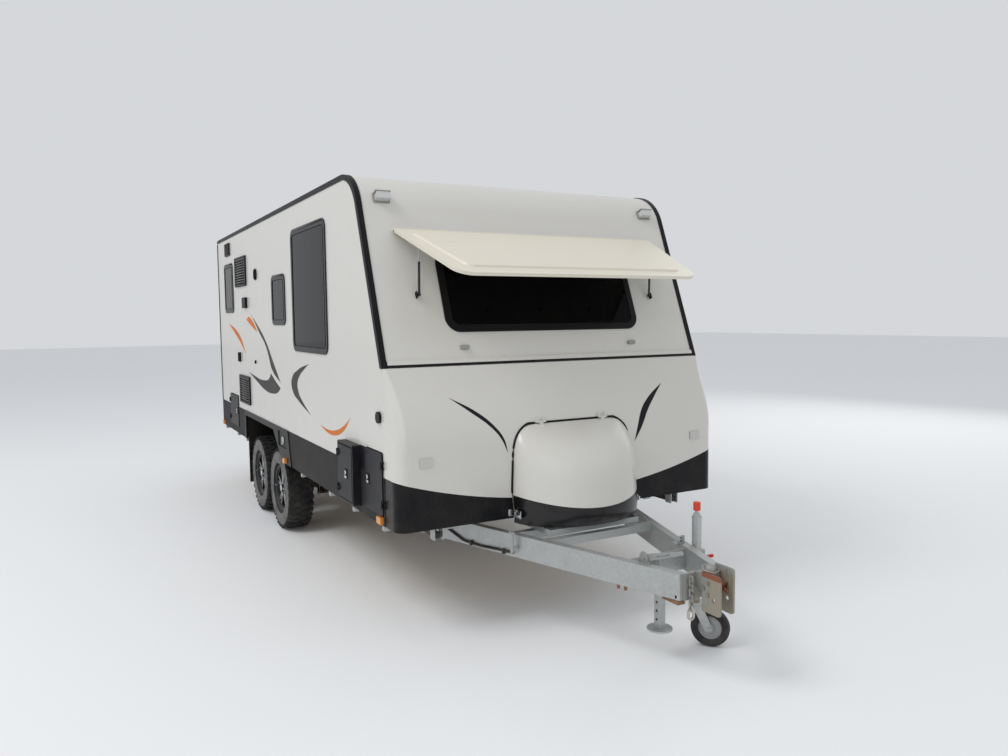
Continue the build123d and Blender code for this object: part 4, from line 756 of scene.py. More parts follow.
HINGE_PATCHES = [(LID_HINGES, WALL_WHITE), (SHIELD_HINGE, WALL_WHITE), (SHIELD_CATCHES, CATCH_GREY)]

FINISHES = {
    "wall": panel_skin("wall_sheet", WALL_WHITE, 0.22),
    "rear": panel_skin("rear_sheet", WALL_WHITE, 0.22, 0.25, [(REAR_FOOT, SKIRT_GREY)]),
    "nose": moulded_nose(),
    "gas_lid": gas_lid_gelcoat(),
    "roof": roof_skin(),
    "shield": shield_plastic(),
    "skirt": skirt_sheet(),
    "nose_skirt": moulded_plastic("nose_skirt_gelcoat", SKIRT_BLACK, 0.26, 0.08),
    "fittings": moulded_plastic("wall_fittings_plastic", TRIM_BLACK, 0.45, 0.10, HINGE_PATCHES),
    "edge_mould": moulded_plastic(
        "edge_mould_plastic", TRIM_BLACK, 0.45, 0.08, [(FRONT_FLANGE, WALL_WHITE)]
    ),
    # Light grey of the lamp housings, also used for the painted highlights on the vent slats
    "lamp_grey_and_slat_highlights": moulded_plastic("light_grey_plastic_and_slat_highlights", LIGHT_GREY, 0.45, 0.1),
    "black": moulded_plastic("black_moulding"),
    "door": panel_skin("door_sheet", WALL_WHITE, 0.22, patches=[(DOOR_GRIP, TRIM_BLACK)]),
    # Black rubber, also used for the black discs of painted shade in holes
    "rubber": moulded_plastic("black_rubber", tone(13, 13, 14), 0.62, 0.08),
    "locker": moulded_plastic("locker_plastic", NAVY_BLACK, 0.4, 0.12),
    "frame_black": moulded_plastic("window_frame_black", TRIM_BLACK, 0.3, 0.05),
    "zinc": zinc_coating(),
    "black_steel": worn_steel("painted_black_steel", tone(30, 30, 32), 0.5, 0.2, 0.4),
    "steel": worn_steel("bare_steel", tone(156, 148, 134), 0.42, 0.8, 0.5),
    "chain": worn_steel("plated_chain", tone(190, 190, 186), 0.32, 0.9, 0.1),
    "glass": tinted_glass(),
    # The sidewall's light grey is painted sunlight; the tread keeps the black of the same rubber
    "tyre": tyre_rubber("tyre_sidewall_painted_sunlit", SUNLIT_SIDEWALL, 0.25),
    "tread": tyre_rubber("tyre_tread", RUBBER, 0.2),
    "jockey_rubber": jockey_rubber(),
    "rim": rim_alloy(),
    "lens": lamp_lens(),
    "awning": awning_vinyl(),
    "ply": plywood(),
    "bottle": bottle_paint(),
    "cloth": mattress_cloth(),
    "red": moulded_plastic("red_handle", tone(176, 26, 24), 0.4, 0.2),
    "grey_stripe": stripe_vinyl("grey_stripe", STRIPE_GREY),
    "orange_stripe": stripe_vinyl("orange_stripe", STRIPE_ORANGE),
    "black_stripe": stripe_vinyl("black_stripe", STRIPE_BLACK),
    "coupling": coupling_steel(),
    "hardware": drawbar_hardware(),
    "jockey": jockey_zinc(),
    "rust": worn_steel("rusty_steel", tone(138, 104, 78), 0.7, 0.2, 0.8),
    "white_trim": panel_skin("white_trim", TRIM_WHITE, 0.1),
    "brass": bright_metal("brass_valve", tone(190, 150, 82), 0.3),
    "chrome": bright_metal("bright_fitting"),
    "copper": bright_metal("copper_latch", tone(150, 98, 74), 0.45),
}

NODE_FINISH = {
    "side_wall_offside": "wall",
    "side_wall_nearside": "wall",
    "rear_wall": "rear",
    "front_panel": "wall",
    "roof_panel": "roof",
    "roof_units": "roof",
    "floor_deck": "ply",
    "nose_moulding": "nose",
    "nose_skirt": "nose_skirt",
    "lower_cladding": "skirt",
    "wheel_arches": "black",
    "edge_mouldings": "edge_mould",
    "window_frames": "frame_black",
    "window_panes": "glass",
    "entry_window": "glass",
    "wall_fittings": "fittings",
    "road_lamps": "lens",
    "locker_box": "locker",
    "locker_door": "locker",
    "boot_door_offside": "locker",
    "boot_door_nearside": "locker",
    "service_hatch": "locker",
    "entry_door": "door",
    "chassis_frame": "zinc",
    "drawbar_beams": "zinc",
    "jockey_tube": "jockey",
    "jockey_stem": "steel",
    "jockey_fork": "zinc",
    "jockey_wheel": "jockey_rubber",
    "drop_stand": "zinc",
    "coupling": "coupling",
    "safety_chains": "chain",
    "drawbar_fittings": "hardware",
    "entry_step": "black_steel",
    "axles": "black_steel",
    "leaf_springs": "black_steel",
    "water_tanks": "black",
    "awning": "awning",
    "gas_bottles": "bottle",
    "gas_lid": "gas_lid",
    "window_shield": "shield",
    "strut_cylinders": "black_steel",
    "strut_rods": "chrome",
    "bed_base": "ply",
    "mattress": "cloth",
}


def dress_nodes():
    """Gives every CAD node its finish. Steadies, rims and tyres go by their names."""
    for name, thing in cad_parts.items():
        if name in NODE_FINISH:
            key = NODE_FINISH[name]
        elif name.startswith("steady"):
            key = "black_steel"
        else:
            key = "rim" if "rim" in name else "tyre"
        thing.data.materials.clear()
        thing.data.materials.append(FINISHES[key])


# Ways of making pieces


def finish_piece(name, work, body, finish, smooth=True):
    """Writes a bmesh out as a piece that rides on a body."""
    bmesh.ops.recalc_face_normals(work, faces=work.faces)
    mesh = bpy.data.meshes.new(name)
    for face in work.faces:
        face.smooth = smooth
    work.to_mesh(mesh)
    work.free()
    mesh.materials.append(FINISHES[finish])
    if smooth:
        mesh.set_sharp_from_angle(angle=radians(32))
    piece = bpy.data.objects.new(name, mesh)
    bpy.context.scene.collection.objects.link(piece)
    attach(piece, body)
    return piece


def ease(work, edges, offset, segments=2):
    """Rounds the edges over."""
    bmesh.ops.bevel(
        work,
        geom=list(edges),
        offset=offset,
        segments=segments,
        affect="EDGES",
        profile=0.5,
        material=-1,
    )


def edges_of(verts):
    """Every edge that meets one of the vertices."""
    return {edge for vert in verts for edge in vert.link_edges}


LEVEL = Matrix.Identity(4)


def add_block(work, low, high, edge=0.0, turn=LEVEL, place=LEVEL, segments=2):
    """A block between two corners with eased edges, turned about its middle and put in place."""
    low, high = Vector(low), Vector(high)
    stretch = Matrix.Diagonal((*(high - low), 1))
    matrix = place @ Matrix.Translation((low + high) / 2) @ turn @ stretch
    verts = bmesh.ops.create_cube(work, size=1, matrix=matrix)["verts"]
    if edge:
        ease(work, edges_of(verts), edge, segments)


def add_flank(work, side, span, offsets, heights, edge=0.0):
    """A block on one side: its reach along the body, its offsets from the centreline, its heights."""
    near, far = sorted(side * offset for offset in offsets)
    add_block(work, at(span[0], near, heights[0]), at(span[1], far, heights[1]), edge)


def add_rod(work, start, end, radius, sides=20, edge=0.0):
    """A round bar between two points."""
    start, end = Vector(start), Vector(end)
    along = end - start
    turn = along.to_track_quat("Z", "Y").to_matrix().to_4x4()
    made = bmesh.ops.create_cone(
        work,
        cap_ends=True,
        segments=sides,
        radius1=radius,
        radius2=radius,
        depth=along.length,
        matrix=Matrix.Translation((start + end) / 2) @ turn,
    )["verts"]
    if edge:
        rims = [e for e in edges_of(made) if any(len(f.verts) == sides for f in e.link_faces)]
        ease(work, rims, edge)


def add_peg(work, side, x, z, near, far, radius, sides=20, edge=0.0):
    """A round peg that stands out from one side, between two offsets from the centreline."""
    add_rod(work, at(x, side * near, z), at(x, side * far, z), radius, sides, edge)


def add_turned(work, profile, place, steps):
    """A closed profile of (radius, offset) spun about the Y axis and put in place."""
    verts = [work.verts.new((0, offset, radius)) for radius, offset in profile]
    edges = [work.edges.new(pair) for pair in zip(verts, verts[1:] + verts[:1])]
    bmesh.ops.spin(
        work,
        geom=verts + edges,
        axis=(0, 1, 0),
        cent=(0, 0, 0),
        steps=steps,
        angle=tau,
        use_merge=True,
    )
    bmesh.ops.transform(work, matrix=place, verts=work.verts)


def take_curve(work, curve):
    """Makes a curve a mesh, adds it to the piece in hand and drops the curve."""
    holder = bpy.data.objects.new("route", curve)
    bpy.context.scene.collection.objects.link(holder)
    view = bpy.context.evaluated_depsgraph_get()
    mesh = bpy.data.meshes.new_from_object(holder.evaluated_get(view))
    bpy.data.objects.remove(holder)
    bpy.data.curves.remove(curve)
    work.from_mesh(mesh)
    bpy.data.meshes.remove(mesh)


def add_bead(work, points, radius, closed=False, roundness=2):
    """A round bead of rubber or wire through the points."""
    curve = bpy.data.curves.new("bead", "CURVE")
    curve.dimensions = "3D"
    curve.bevel_depth = radius
    curve.bevel_resolution = roundness
    curve.use_fill_caps = not closed
    spline = curve.splines.new("POLY")
    spline.points.add(len(points) - 1)
    spline.use_cyclic_u = closed
    for knot, point in zip(spline.points, points):
        knot.co = (*point, 1)
    take_curve(work, curve)


def rounded_loop(x0, x1, z0, z1, radius, steps=6):
    """Points round a rectangle with round corners."""
    middles = [
        (x1 - radius, z1 - radius),
        (x0 + radius, z1 - radius),
        (x0 + radius, z0 + radius),
        (x1 - radius, z0 + radius),
    ]
    points = []
    for quarter, (x, z) in enumerate(middles):
        for step in range(steps + 1):
            turn = (quarter + step / steps) * pi / 2
            points.append((x + radius * cos(turn), z + radius * sin(turn)))
    return points


def drawn_in(x0, x1, z0, z1, radius, inset):
    """A round-cornered rectangle drawn in by the same distance all round."""
    return x0 + inset, x1 - inset, z0 + inset, z1 - inset, radius - inset


def on_front(across, up, lift=0.0):
    """A place on the tilted front wall: offset from the centreline, distance up it, lift off it."""
    return at(
        KNEE_X - up * sin(TILT) + lift * cos(TILT),
        across,
        KNEE_Z + up * cos(TILT) + lift * sin(TILT),
    )


def beam_face(x):
    """Distance of a drawbar beam's outer face from the centreline at x."""
    return 0.120 + BEAM_SLOPE * (BEAM_FRONT_X - x) + 0.025 * sqrt(1 + BEAM_SLOPE**2)


def turned_to(side):
    """Turns a form's outer face, modelled towards +Y, to the side given as 1 or -1."""
    return Matrix.Identity(4) if side > 0 else Matrix.Rotation(pi, 4, "Z")


# Tyres and wheels


def tyre_profile():
    """Outline of the tyre below its tread blocks: (radius, offset), from bead to bead."""
    half = TYRE_HALF
    outer = [
        (BEAD_RADIUS, half - 0.034),
        (BEAD_RADIUS + 0.008, half - 0.020),
        (BEAD_RADIUS + 0.020, half - 0.014),
        (BEAD_RADIUS + 0.024, half - 0.009),
        (BEAD_RADIUS + 0.050, half - 0.003),
        (BEAD_RADIUS + 0.080, half - 0.001),
        (BEAD_RADIUS + 0.084, half - 0.004),
        (BEAD_RADIUS + 0.108, half - 0.006),
        (BEAD_RADIUS + 0.112, half - 0.003),
        (TYRE_RADIUS - 0.036, half - 0.010),
        (TYRE_RADIUS - TREAD_DEPTH - 0.004, half - 0.026),
        (TYRE_RADIUS - TREAD_DEPTH, half - 0.040),
    ]
    return outer + [(radius, -offset) for radius, offset in reversed(outer)]


def add_lug(work, place, side, half, offsets, radii, lean=0.0, skew=0.0):
    """One tread block on one side of the tyre's middle, leaned about X and skewed about Z."""
    near, far = sorted(side * offset for offset in offsets)
    turn = Matrix.Rotation(lean, 4, "X") @ Matrix.Rotation(skew, 4, "Z")
    add_block(work, (-half, near, radii[0]), (half, far, radii[1]), LUG_EDGE, turn, place, 1)


def build_tyre(name, body, place):
    """One all-terrain tyre: turned carcass, lugs on shoulder and side, two staggered rows of blocks."""
    work = bmesh.new()
    add_turned(work, tyre_profile(), place, TURN_STEPS)
    axle = (place.to_3x3() @ Vector((0, 1, 0))).normalized()
    for face in work.faces:
        spoke = face.calc_center_median() - place.translation
        spoke -= axle * spoke.dot(axle)
        # Faces between bead and shoulder take the light grey of painted sunlight, the rest stay black
        sunlit_band = BEAD_RADIUS + 0.030 < spoke.length < TYRE_RADIUS - 0.040
        face.material_index = 0 if sunlit_band else 1
    carcass = set(work.faces)
    pitch = tau / TREAD_BLOCKS
    foot = TYRE_RADIUS - TREAD_DEPTH - 0.006
    for count in range(TREAD_BLOCKS):
        wide, drop = (0.040, 0.052) if count % 2 else (0.033, 0.042)
        for side in SIDES:
            outer = (count + (0.5 if side > 0 else 0.0)) * pitch
            turn = place @ Matrix.Rotation(outer, 4, "Y")
            offsets = (SHOULDER_START, SHOULDER_START + wide)
            add_lug(work, turn, side, 0.020, offsets, (foot, TYRE_RADIUS - 0.0025))
            radii = (TYRE_RADIUS - drop, TYRE_RADIUS - 0.012)
            add_lug(work, turn, side, 0.017, SIDE_LUGS, radii, side * SIDE_LEAN)
            inner = (count + (0.25 if side > 0 else 0.75)) * pitch
            turn = place @ Matrix.Rotation(inner, 4, "Y")
            radii = (foot, TYRE_RADIUS - 0.001)
            add_lug(work, turn, side, 0.022, INNER_BLOCKS, radii, skew=INNER_TURN)
    for face in work.faces:
        if face not in carcass:
            face.material_index = 1
    piece = finish_piece(name + "_rubber", work, body, "tyre")
    piece.data.materials.append(FINISHES["tread"])
    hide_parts(name)


def build_wheel_trim(name, body, place):
    """Centre cap, wheel nuts and valve of one rim."""
    work = bmesh.new()
    face = TYRE_HALF - 0.044
    rods = [((0, face, 0), (0, face + 0.024, 0), 0.033, 32, 0.004)]
    for count in range(WHEEL_NUTS):
        turn = tau * (count + 0.5) / WHEEL_NUTS
        x, z = NUT_CIRCLE * sin(turn), NUT_CIRCLE * cos(turn)
        rods.append(((x, face - 0.002, z), (x, face + 0.014, z), 0.0105, 6, 0.0015))
    valve_x = BEAD_RADIUS - 0.028
    valve_y = TYRE_HALF - 0.040
    rods.append(((valve_x, valve_y, 0), (valve_x - 0.008, valve_y + 0.030, 0), 0.005, 12, 0.001))
    for start, end, radius, sides, edge in rods:
        add_rod(work, place @ Vector(start), place @ Vector(end), radius, sides, edge)
    finish_piece(name + "_trim", work, body, "chrome")


def build_wheels():
    """Tyres and wheel trim of the four road wheels and the spare."""
    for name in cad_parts:
        if name.startswith("tyre_"):
            body = name.replace("tyre", "wheel")
            place = Matrix.Translation(middle_of(name)) @ turned_to(1 if "nearside" in name else -1)
            build_tyre(name, body, place)
            build_wheel_trim(body, body, place)
    place = Matrix.Translation(middle_of("spare_tyre")) @ Matrix.Rotation(pi / 2, 4, "Z")
    build_tyre("spare_tyre", BODY, place)
    build_wheel_trim("spare_wheel", BODY, place)


# Stripes on the walls: outlines as (x, z) on the side, (y, z) on the nose


CRESCENT = [
    (1.333, 1.503), (0.956, 1.430), (0.786, 1.361), (0.757, 1.310), (0.801, 1.246), (0.970, 1.185),
    (1.353, 1.100), (1.110, 1.187), (0.979, 1.263), (0.957, 1.320), (1.037, 1.391), (1.153, 1.441),
]
SMILE = [
    (1.60, 1.06), (1.78, 1.022), (1.97, 1.022), (2.18, 1.08),
    (2.34, 1.19), (2.18, 1.115), (1.98, 1.06), (1.78, 1.045),
]
LONG_SWOOSH = [
    (-0.885, 1.918), (-0.534, 1.802), (-0.161, 1.640), (0.080, 1.482),
    (0.375, 1.286), (0.017, 1.410), (-0.048, 1.480), (-0.167, 1.590), (-0.430, 1.716), (-0.705, 1.850),
]
WEDGE = [(-0.930, 1.885), (-0.713, 1.825), (-0.520, 1.726), (-0.740, 1.768), (-1.060, 1.852)]
BOAT = [
    (-1.025, 1.311), (-0.741, 1.288), (-0.329, 1.269), (-0.077, 1.303), (0.000, 1.352), (0.190, 1.288),
    (0.360, 1.242), (0.292, 1.206), (0.035, 1.168), (-0.287, 1.180), (-0.627, 1.237),
]
THIN_CRESCENT = [
    (-2.08, 1.81), (-1.60, 1.73), (-1.33, 1.63), (-1.14, 1.49), (-1.40, 1.60), (-1.68, 1.69),
]
NOSE_SWOOSH_OFFSIDE = [
    (-0.85, 1.365), (-0.68, 1.27), (-0.565, 1.17), (-0.51, 1.09),
    (-0.485, 1.00), (-0.535, 1.10), (-0.605, 1.18), (-0.71, 1.262),
]
NOSE_SWOOSH_NEARSIDE = [
    (0.82, 1.375), (0.655, 1.275), (0.58, 1.20), (0.535, 1.10),
    (0.505, 0.99), (0.575, 1.10), (0.635, 1.195), (0.71, 1.275),
]


def outline_mesh(points, corners):
    """A flat filled outline through the points, sharp at the corners named and smooth between."""
    curve = bpy.data.curves.new("outline", "CURVE")
    curve.dimensions = "2D"
    curve.fill_mode = "BOTH"
    curve.resolution_u = 10
    spline = curve.splines.new("BEZIER")
    spline.bezier_points.add(len(points) - 1)
    spline.use_cyclic_u = True
    for number, (knot, (across, up)) in enumerate(zip(spline.bezier_points, points)):
        knot.co = (across, up, 0)
        kind = "VECTOR" if number in corners else "AUTO"
        knot.handle_left_type = kind
        knot.handle_right_type = kind
    work = bmesh.new()
    take_curve(work, curve)
    bmesh.ops.remove_doubles(work, verts=work.verts, dist=0.0001)
    return work


def slice_up(work, step):
    """Cuts a flat form across at even steps, so that it can follow a curved skin."""
    for axis in (Vector((1, 0, 0)), Vector((0, 1, 0))):
        reach = [v.co.dot(axis) for v in work.verts]
        low, high = min(reach), max(reach)
        cut = low + step
        while cut < high:
            parts = list(work.verts) + list(work.edges) + list(work.faces)
            bmesh.ops.bisect_plane(work, geom=parts, plane_co=axis * cut, plane_no=axis)
            cut += step


def thicken(work, amount):
    """Gives a thin skin its thickness."""
    bmesh.ops.recalc_face_normals(work, faces=work.faces)
    bmesh.ops.solidify(work, geom=list(work.faces), thickness=amount)


def side_stripe(name, points, corners, finish, side):
    """A stripe lying on one side wall."""
    work = outline_mesh(points, corners)
    for vert in work.verts:
        vert.co = at(vert.co.x, side * (HALF + STRIPE_LIFT), vert.co.y)
    thicken(work, STRIPE_THICK)
    finish_piece(name, work, BODY, finish, smooth=False)


def skin_of(*names):
    """A tree of the named nodes' surfaces, for laying things on them."""
    work = bmesh.new()
    for name in names:
        work.from_mesh(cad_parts[name].data)
    tree = BVHTree.FromBMesh(work)
    work.free()
    return tree


def laid_ahead(tree, y, z):
    """Spot and normal on the front of a skin at one offset and height, or None."""
    spot, normal, _, _ = tree.ray_cast(at(6, y, z), Vector((-1, 0, 0)))
    return spot, normal


def nose_stripe(name, points, tree):
    """A stripe lying on the curved front of the nose."""
    work = outline_mesh(points, (0, 4))
    slice_up(work, 0.03)
    for vert in work.verts:
        spot, normal = laid_ahead(tree, vert.co.x, vert.co.y)
        vert.co = spot + normal * STRIPE_LIFT
    thicken(work, STRIPE_THICK)
    finish_piece(name, work, BODY, "black_stripe", smooth=False)


def build_stripes():
    """Crescents and swooshes on both sides and on the nose."""
    for side, word in ((-1, "offside"), (1, "nearside")):
        side_stripe("crescent_" + word, CRESCENT, (0, 6), "grey_stripe", side)
        side_stripe("smile_" + word, SMILE, (0, 4), "orange_stripe", side)
        side_stripe("boat_stripe_" + word, BOAT, (0, 4, 6), "grey_stripe", side)
    side_stripe("long_swoosh", LONG_SWOOSH, (0, 4), "grey_stripe", -1)
    side_stripe("wedge_stripe", WEDGE, (0, 2, 4), "orange_stripe", -1)
    side_stripe("thin_crescent", THIN_CRESCENT, (0, 3), "orange_stripe", -1)
    nose = skin_of("nose_moulding")
    nose_stripe("nose_swoosh_offside", NOSE_SWOOSH_OFFSIDE, nose)
    nose_stripe("nose_swoosh_nearside", NOSE_SWOOSH_NEARSIDE, nose)


# Windows, doors and wall fittings


def build_window_seals():
    """Rubber seal in every window frame and the hinge rail along its head."""
    seal = bmesh.new()
    rail = bmesh.new()
    rail_offsets = (HALF + 0.007, HALF + FRAME_PROUD + 0.004)
    for side, *outline in WINDOWS:
        loop = rounded_loop(*drawn_in(*outline, WINDOW_INSET))
        add_bead(seal, [at(x, side * (HALF + 0.0075), z) for x, z in loop], SEAL_RADIUS, True)
        x0, x1, _, z1, radius = outline
        add_flank(rail, side, (x0 + radius, x1 - radius), rail_offsets, (z1 - 0.019, z1 - 0.006), 0.0015)
    loop = rounded_loop(*drawn_in(*FRONT_WINDOW, WINDOW_INSET))
    add_bead(seal, [on_front(y, up, 0.0075) for y, up in loop], SEAL_RADIUS, True)
    low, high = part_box("entry_window")
    door_seal = bmesh.new()
    loop = rounded_loop(low.x, high.x, low.z, high.z, 0.040)
    add_bead(door_seal, [(x, HALF + 0.0105, z) for x, z in loop], 0.0045, True)
    finish_piece("window_seals", seal, BODY, "rubber")
    finish_piece("window_rails", rail, BODY, "frame_black")
    finish_piece("door_window_seal", door_seal, "entry_door", "rubber")


def build_locks():
    """Square bezel, round barrel and folding grip on each small door."""
    for name, (side, x, z, proud) in LOCKS.items():
        face = HALF + proud
        bezel = bmesh.new()
        offsets = (face - 0.001, face + 0.004)
        add_flank(bezel, side, (x - 0.028, x + 0.028), offsets, (z - 0.034, z + 0.034), 0.002)
        finish_piece(name + "_bezel", bezel, name, "rubber")
        lock = bmesh.new()
        offsets = (face + 0.003, face + 0.009)
        add_peg(lock, side, x, z + 0.010, *offsets, 0.015, 24, 0.0015)
        add_flank(lock, side, (x - 0.022, x + 0.022), offsets, (z - 0.028, z - 0.010), 0.002)
        finish_piece(name + "_lock", lock, name, "chrome")


def build_entry():
    """Seal round the doorway, lock barrel and slot, grab handle and the step's tread strips."""
    low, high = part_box("entry_door")
    seal = bmesh.new()
    loop = rounded_loop(low.x - 0.012, high.x + 0.001, low.z - 0.012, high.z + 0.012, 0.044)
    add_bead(seal, [(x, HALF + 0.002, z) for x, z in loop], SEAL_RADIUS, True)
    finish_piece("doorway_seal", seal, BODY, "rubber")
    lock = bmesh.new()
    x, z = ENTRY_LOCK
    offsets = (ENTRY_LOCK_FACE, ENTRY_LOCK_FACE + 0.0035)
    add_peg(lock, 1, x, z, *offsets, 0.009, 20, 0.001)
    add_flank(lock, 1, (x - 0.012, x + 0.012), offsets, (z + 0.035, z + 0.105), 0.001)
    finish_piece("door_lock", lock, "entry_door", "chrome")
    grab = bmesh.new()
    add_bead(grab, [at(GRAB_X, y, z) for y, z in GRAB_ROUTE], 0.011, roundness=4)
    for z in (GRAB_ROUTE[0][1], GRAB_ROUTE[-1][1]):
        span = (GRAB_X - 0.022, GRAB_X + 0.022)
        add_flank(grab, 1, span, (HALF, HALF + 0.006), (z - 0.026, z + 0.026), 0.002)
    finish_piece("grab_handle", grab, BODY, "white_trim")
    low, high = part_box("entry_step")
    tread = bmesh.new()
    for row in range(STEP_STRIPS):
        y = low.y + (high.y - low.y) * (row + 0.5) / STEP_STRIPS
        near = (low.x + 0.02, y - 0.006, high.z - 0.001)
        far = (high.x - 0.02, y + 0.006, high.z + 0.0015)
        add_block(tread, near, far)
    finish_piece("step_tread", tread, "entry_step", "rubber")


def build_lamp_housings():
    """Grey base and brow of each clearance lamp on the front wall."""
    housings = bmesh.new()
    upright = Matrix.Rotation(pi / 2 - TILT, 4, "Y")
    base = (CLEARANCE_UP, 0.004, Vector((0.033, 0.056, 0.004)), 0.003)
    brow = (CLEARANCE_UP + 0.027, 0.028, Vector((0.004, 0.052, 0.027)), 0.002)
    for side in SIDES:
        for up, lift, half, edge in (base, brow):
            spot = on_front(side * LAMP_Y, up, lift)
            add_block(housings, spot - half, spot + half, edge, upright)
    finish_piece("lamp_housings", housings, BODY, "lamp_grey_and_slat_highlights")


def build_vent_slat_highlights():
    """Painted highlight along each slat of the refrigerator vents: a pale strip standing in for sunlight
    on the slat's top.
    """
    slat_highlights = bmesh.new()
    offsets = (HALF + 0.0135, HALF + 0.0157)
    for x0, x1, z0, z1 in FRIDGE_VENTS:
        for row in range(VENT_SLATS):
            # Each pale strip sits at the top of a slat, standing in for the sun on it
            z = z0 + 0.024 + (z1 - z0 - 0.048) * (row + 0.5) / VENT_SLATS + 0.0055
            add_flank(slat_highlights, -1, (x0 + 0.034, x1 - 0.034), offsets, (z - 0.0025, z + 0.0025))
    finish_piece("vent_slat_highlights", slat_highlights, BODY, "lamp_grey_and_slat_highlights")


def build_wall_details():
    """Box, inlet and vent ribs of the offside wall, seals round the tail lamps, locker surround."""
    dark = bmesh.new()
    add_flank(dark, -1, (-1.49, -1.41), (HALF, HALF + 0.022), (1.40, 1.50), 0.006)
    add_peg(dark, -1, -0.648, 1.43, HALF, HALF + 0.012, 0.018, 24, 0.003)
    x, z, radius, pitch = ROUND_VENT
    for step in range(-2, 3):
        rib = x + step * pitch
        half = sqrt(radius**2 - (step * pitch) ** 2)
        add_flank(dark, -1, (rib - 0.003, rib + 0.003), (HALF + 0.011, HALF + 0.016), (z - half, z + half))
    for step in range(5):
        z = HIGH_VENT_Z + step * HIGH_VENT_PITCH
        add_flank(dark, -1, (-2.105, -1.865), (HALF + 0.012, HALF + 0.019), (z, z + 0.010), 0.002)
    for side in SIDES:
        y = side * LAMP_Y
        loop = rounded_loop(y - 0.055, y + 0.055, 0.740, 1.060, 0.020)
        add_bead(dark, [at(REAR_X - 0.002, y, z) for y, z in loop], 0.006, True)
    finish_piece("wall_details", dark, BODY, "rubber")
    surround = bmesh.new()
    offsets = (HALF - 0.0005, HALF + 0.0035)
    add_flank(surround, -1, (2.526, 2.650), offsets, (0.884, 1.034), 0.001)
    finish_piece("locker_surround", surround, BODY, "locker")


def build_rivets():
    """Rivets along the cladding's top edge and on the shield's hinge rail."""
    rivets = bmesh.new()
    for side in SIDES:
        for count in range(RIVET_COUNT):
            x = RIVET_START + count * RIVET_PITCH
            if not any(low < x < high for low, high in RIVET_GAPS[side]):
                add_peg(rivets, side, x, RIVET_Z, HALF + 0.0025, HALF + 0.0055, 0.0055, 10, 0.001)
    finish_piece("rivets", rivets, BODY, "black_steel")
    rail_rivets = bmesh.new()
    for count in range(RAIL_RIVETS):
        y = (count - (RAIL_RIVETS - 1) / 2) * RAIL_PITCH
        ends = (on_front(y, RAIL_UP, 0.037), on_front(y, RAIL_UP, 0.040))
        add_rod(rail_rivets, *ends, 0.005, 10, 0.001)
    finish_piece("rail_rivets", rail_rivets, BODY, "white_trim")


def build_pocket_latch():
    """Bright latch in the dark pocket ahead of the offside wheels."""
    latch = bmesh.new()
    add_flank(latch, -1, (0.385, 0.450), (HALF + 0.005, HALF + 0.012), (0.755, 0.815), 0.003)
    add_peg(latch, -1, 0.418, 0.785, HALF + 0.005, HALF + 0.017, 0.016, 24, 0.003)
    add_flank(latch, -1, (0.402, 0.434), (HALF + 0.012, HALF + 0.018), (0.745, 0.765), 0.002)
    finish_piece("pocket_latch", latch, BODY, "chrome")


# Nose, gas locker and shield


def locker_edge(tree, angle):
    """Where the nose starts outside the gas locker's opening, looking out from its middle."""
    near, far = 0.10, 0.70
    found = None
    for _ in range(14):
        reach = (near + far) / 2
        spot, normal = laid_ahead(tree, reach * cos(angle), 0.86 + reach * sin(angle))
        if spot is not None and spot.x > at(KNEE_X + 0.05, 0, 0).x:
            found = spot + normal * 0.002
            far = reach
        else:
            near = reach
    return found


def build_locker_gasket():
    """Black rubber line over the top and down both sides of the gas locker's opening."""
    tree = skin_of("nose_moulding")
    inner, outer = LID_HINGE_SPAN
    runs = [[]]
    for step in range(GASKET_STEPS + 1):
        spot = locker_edge(tree, GASKET_START + GASKET_SWEEP * step / GASKET_STEPS)
        by_hinge = spot is not None and spot.z > at(0, 0, 1.15).z and inner < abs(spot.y) < outer
        if spot is not None and not by_hinge:
            runs[-1].append(spot)
        elif runs[-1]:
            runs.append([])
    gasket = bmesh.new()
    for run in runs:
        if len(run) > 1:
            add_bead(gasket, run, 0.0065, roundness=3)
    finish_piece("locker_gasket", gasket, BODY, "rubber")


def build_toggle_latches():
    """Chrome toggle latch low on each flank of the gas locker lid, and its keeper on the skirt."""
    latch = bmesh.new()
    keeper = bmesh.new()
    x = NOSE_X
    flank = LID_FLANK
    for side in SIDES:
        add_flank(latch, side, (x + 0.030, x + 0.100), (flank, flank + 0.006), (0.600, 0.650), 0.002)
        offsets = (flank + 0.004, flank + 0.016)
        add_flank(latch, side, (x + 0.040, x + 0.110), offsets, (0.612, 0.638), 0.003)
        for z in (0.610, 0.640):
            start = at(x + 0.060, side * (flank + 0.012), z)
            add_rod(latch, start, at(x + 0.016, side * (flank + 0.022), z), 0.0025, 10)
        offsets = (flank + 0.012, flank + 0.040)
        add_flank(keeper, side, (x - 0.001, x + 0.010), offsets, (0.604, 0.646), 0.002)
    finish_piece("toggle_latches", latch, "gas_lid", "chrome")
    finish_piece("latch_keepers", keeper, BODY, "chrome")


def build_bottle_valves():
    """Brass valve with its hand wheel on each gas bottle."""
    middle = middle_of("gas_bottles")
    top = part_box("gas_bottles")[1].z
    brass = bmesh.new()
    wheels = bmesh.new()
    for side in SIDES:
        foot = Vector((middle.x, side * BOTTLE_Y, top - 0.002))
        outlet = foot + rise(0.012)
        head = foot + rise(0.020)
        add_rod(brass, foot, head, 0.014, 20, 0.002)
        add_rod(brass, outlet, outlet + Vector((-0.040, 0, 0)), 0.009, 6, 0.001)
        add_rod(wheels, head, head + rise(0.010), 0.028, 10, 0.003)
    finish_piece("bottle_valves", brass, BODY, "brass")
    finish_piece("valve_wheels", wheels, BODY, "black")


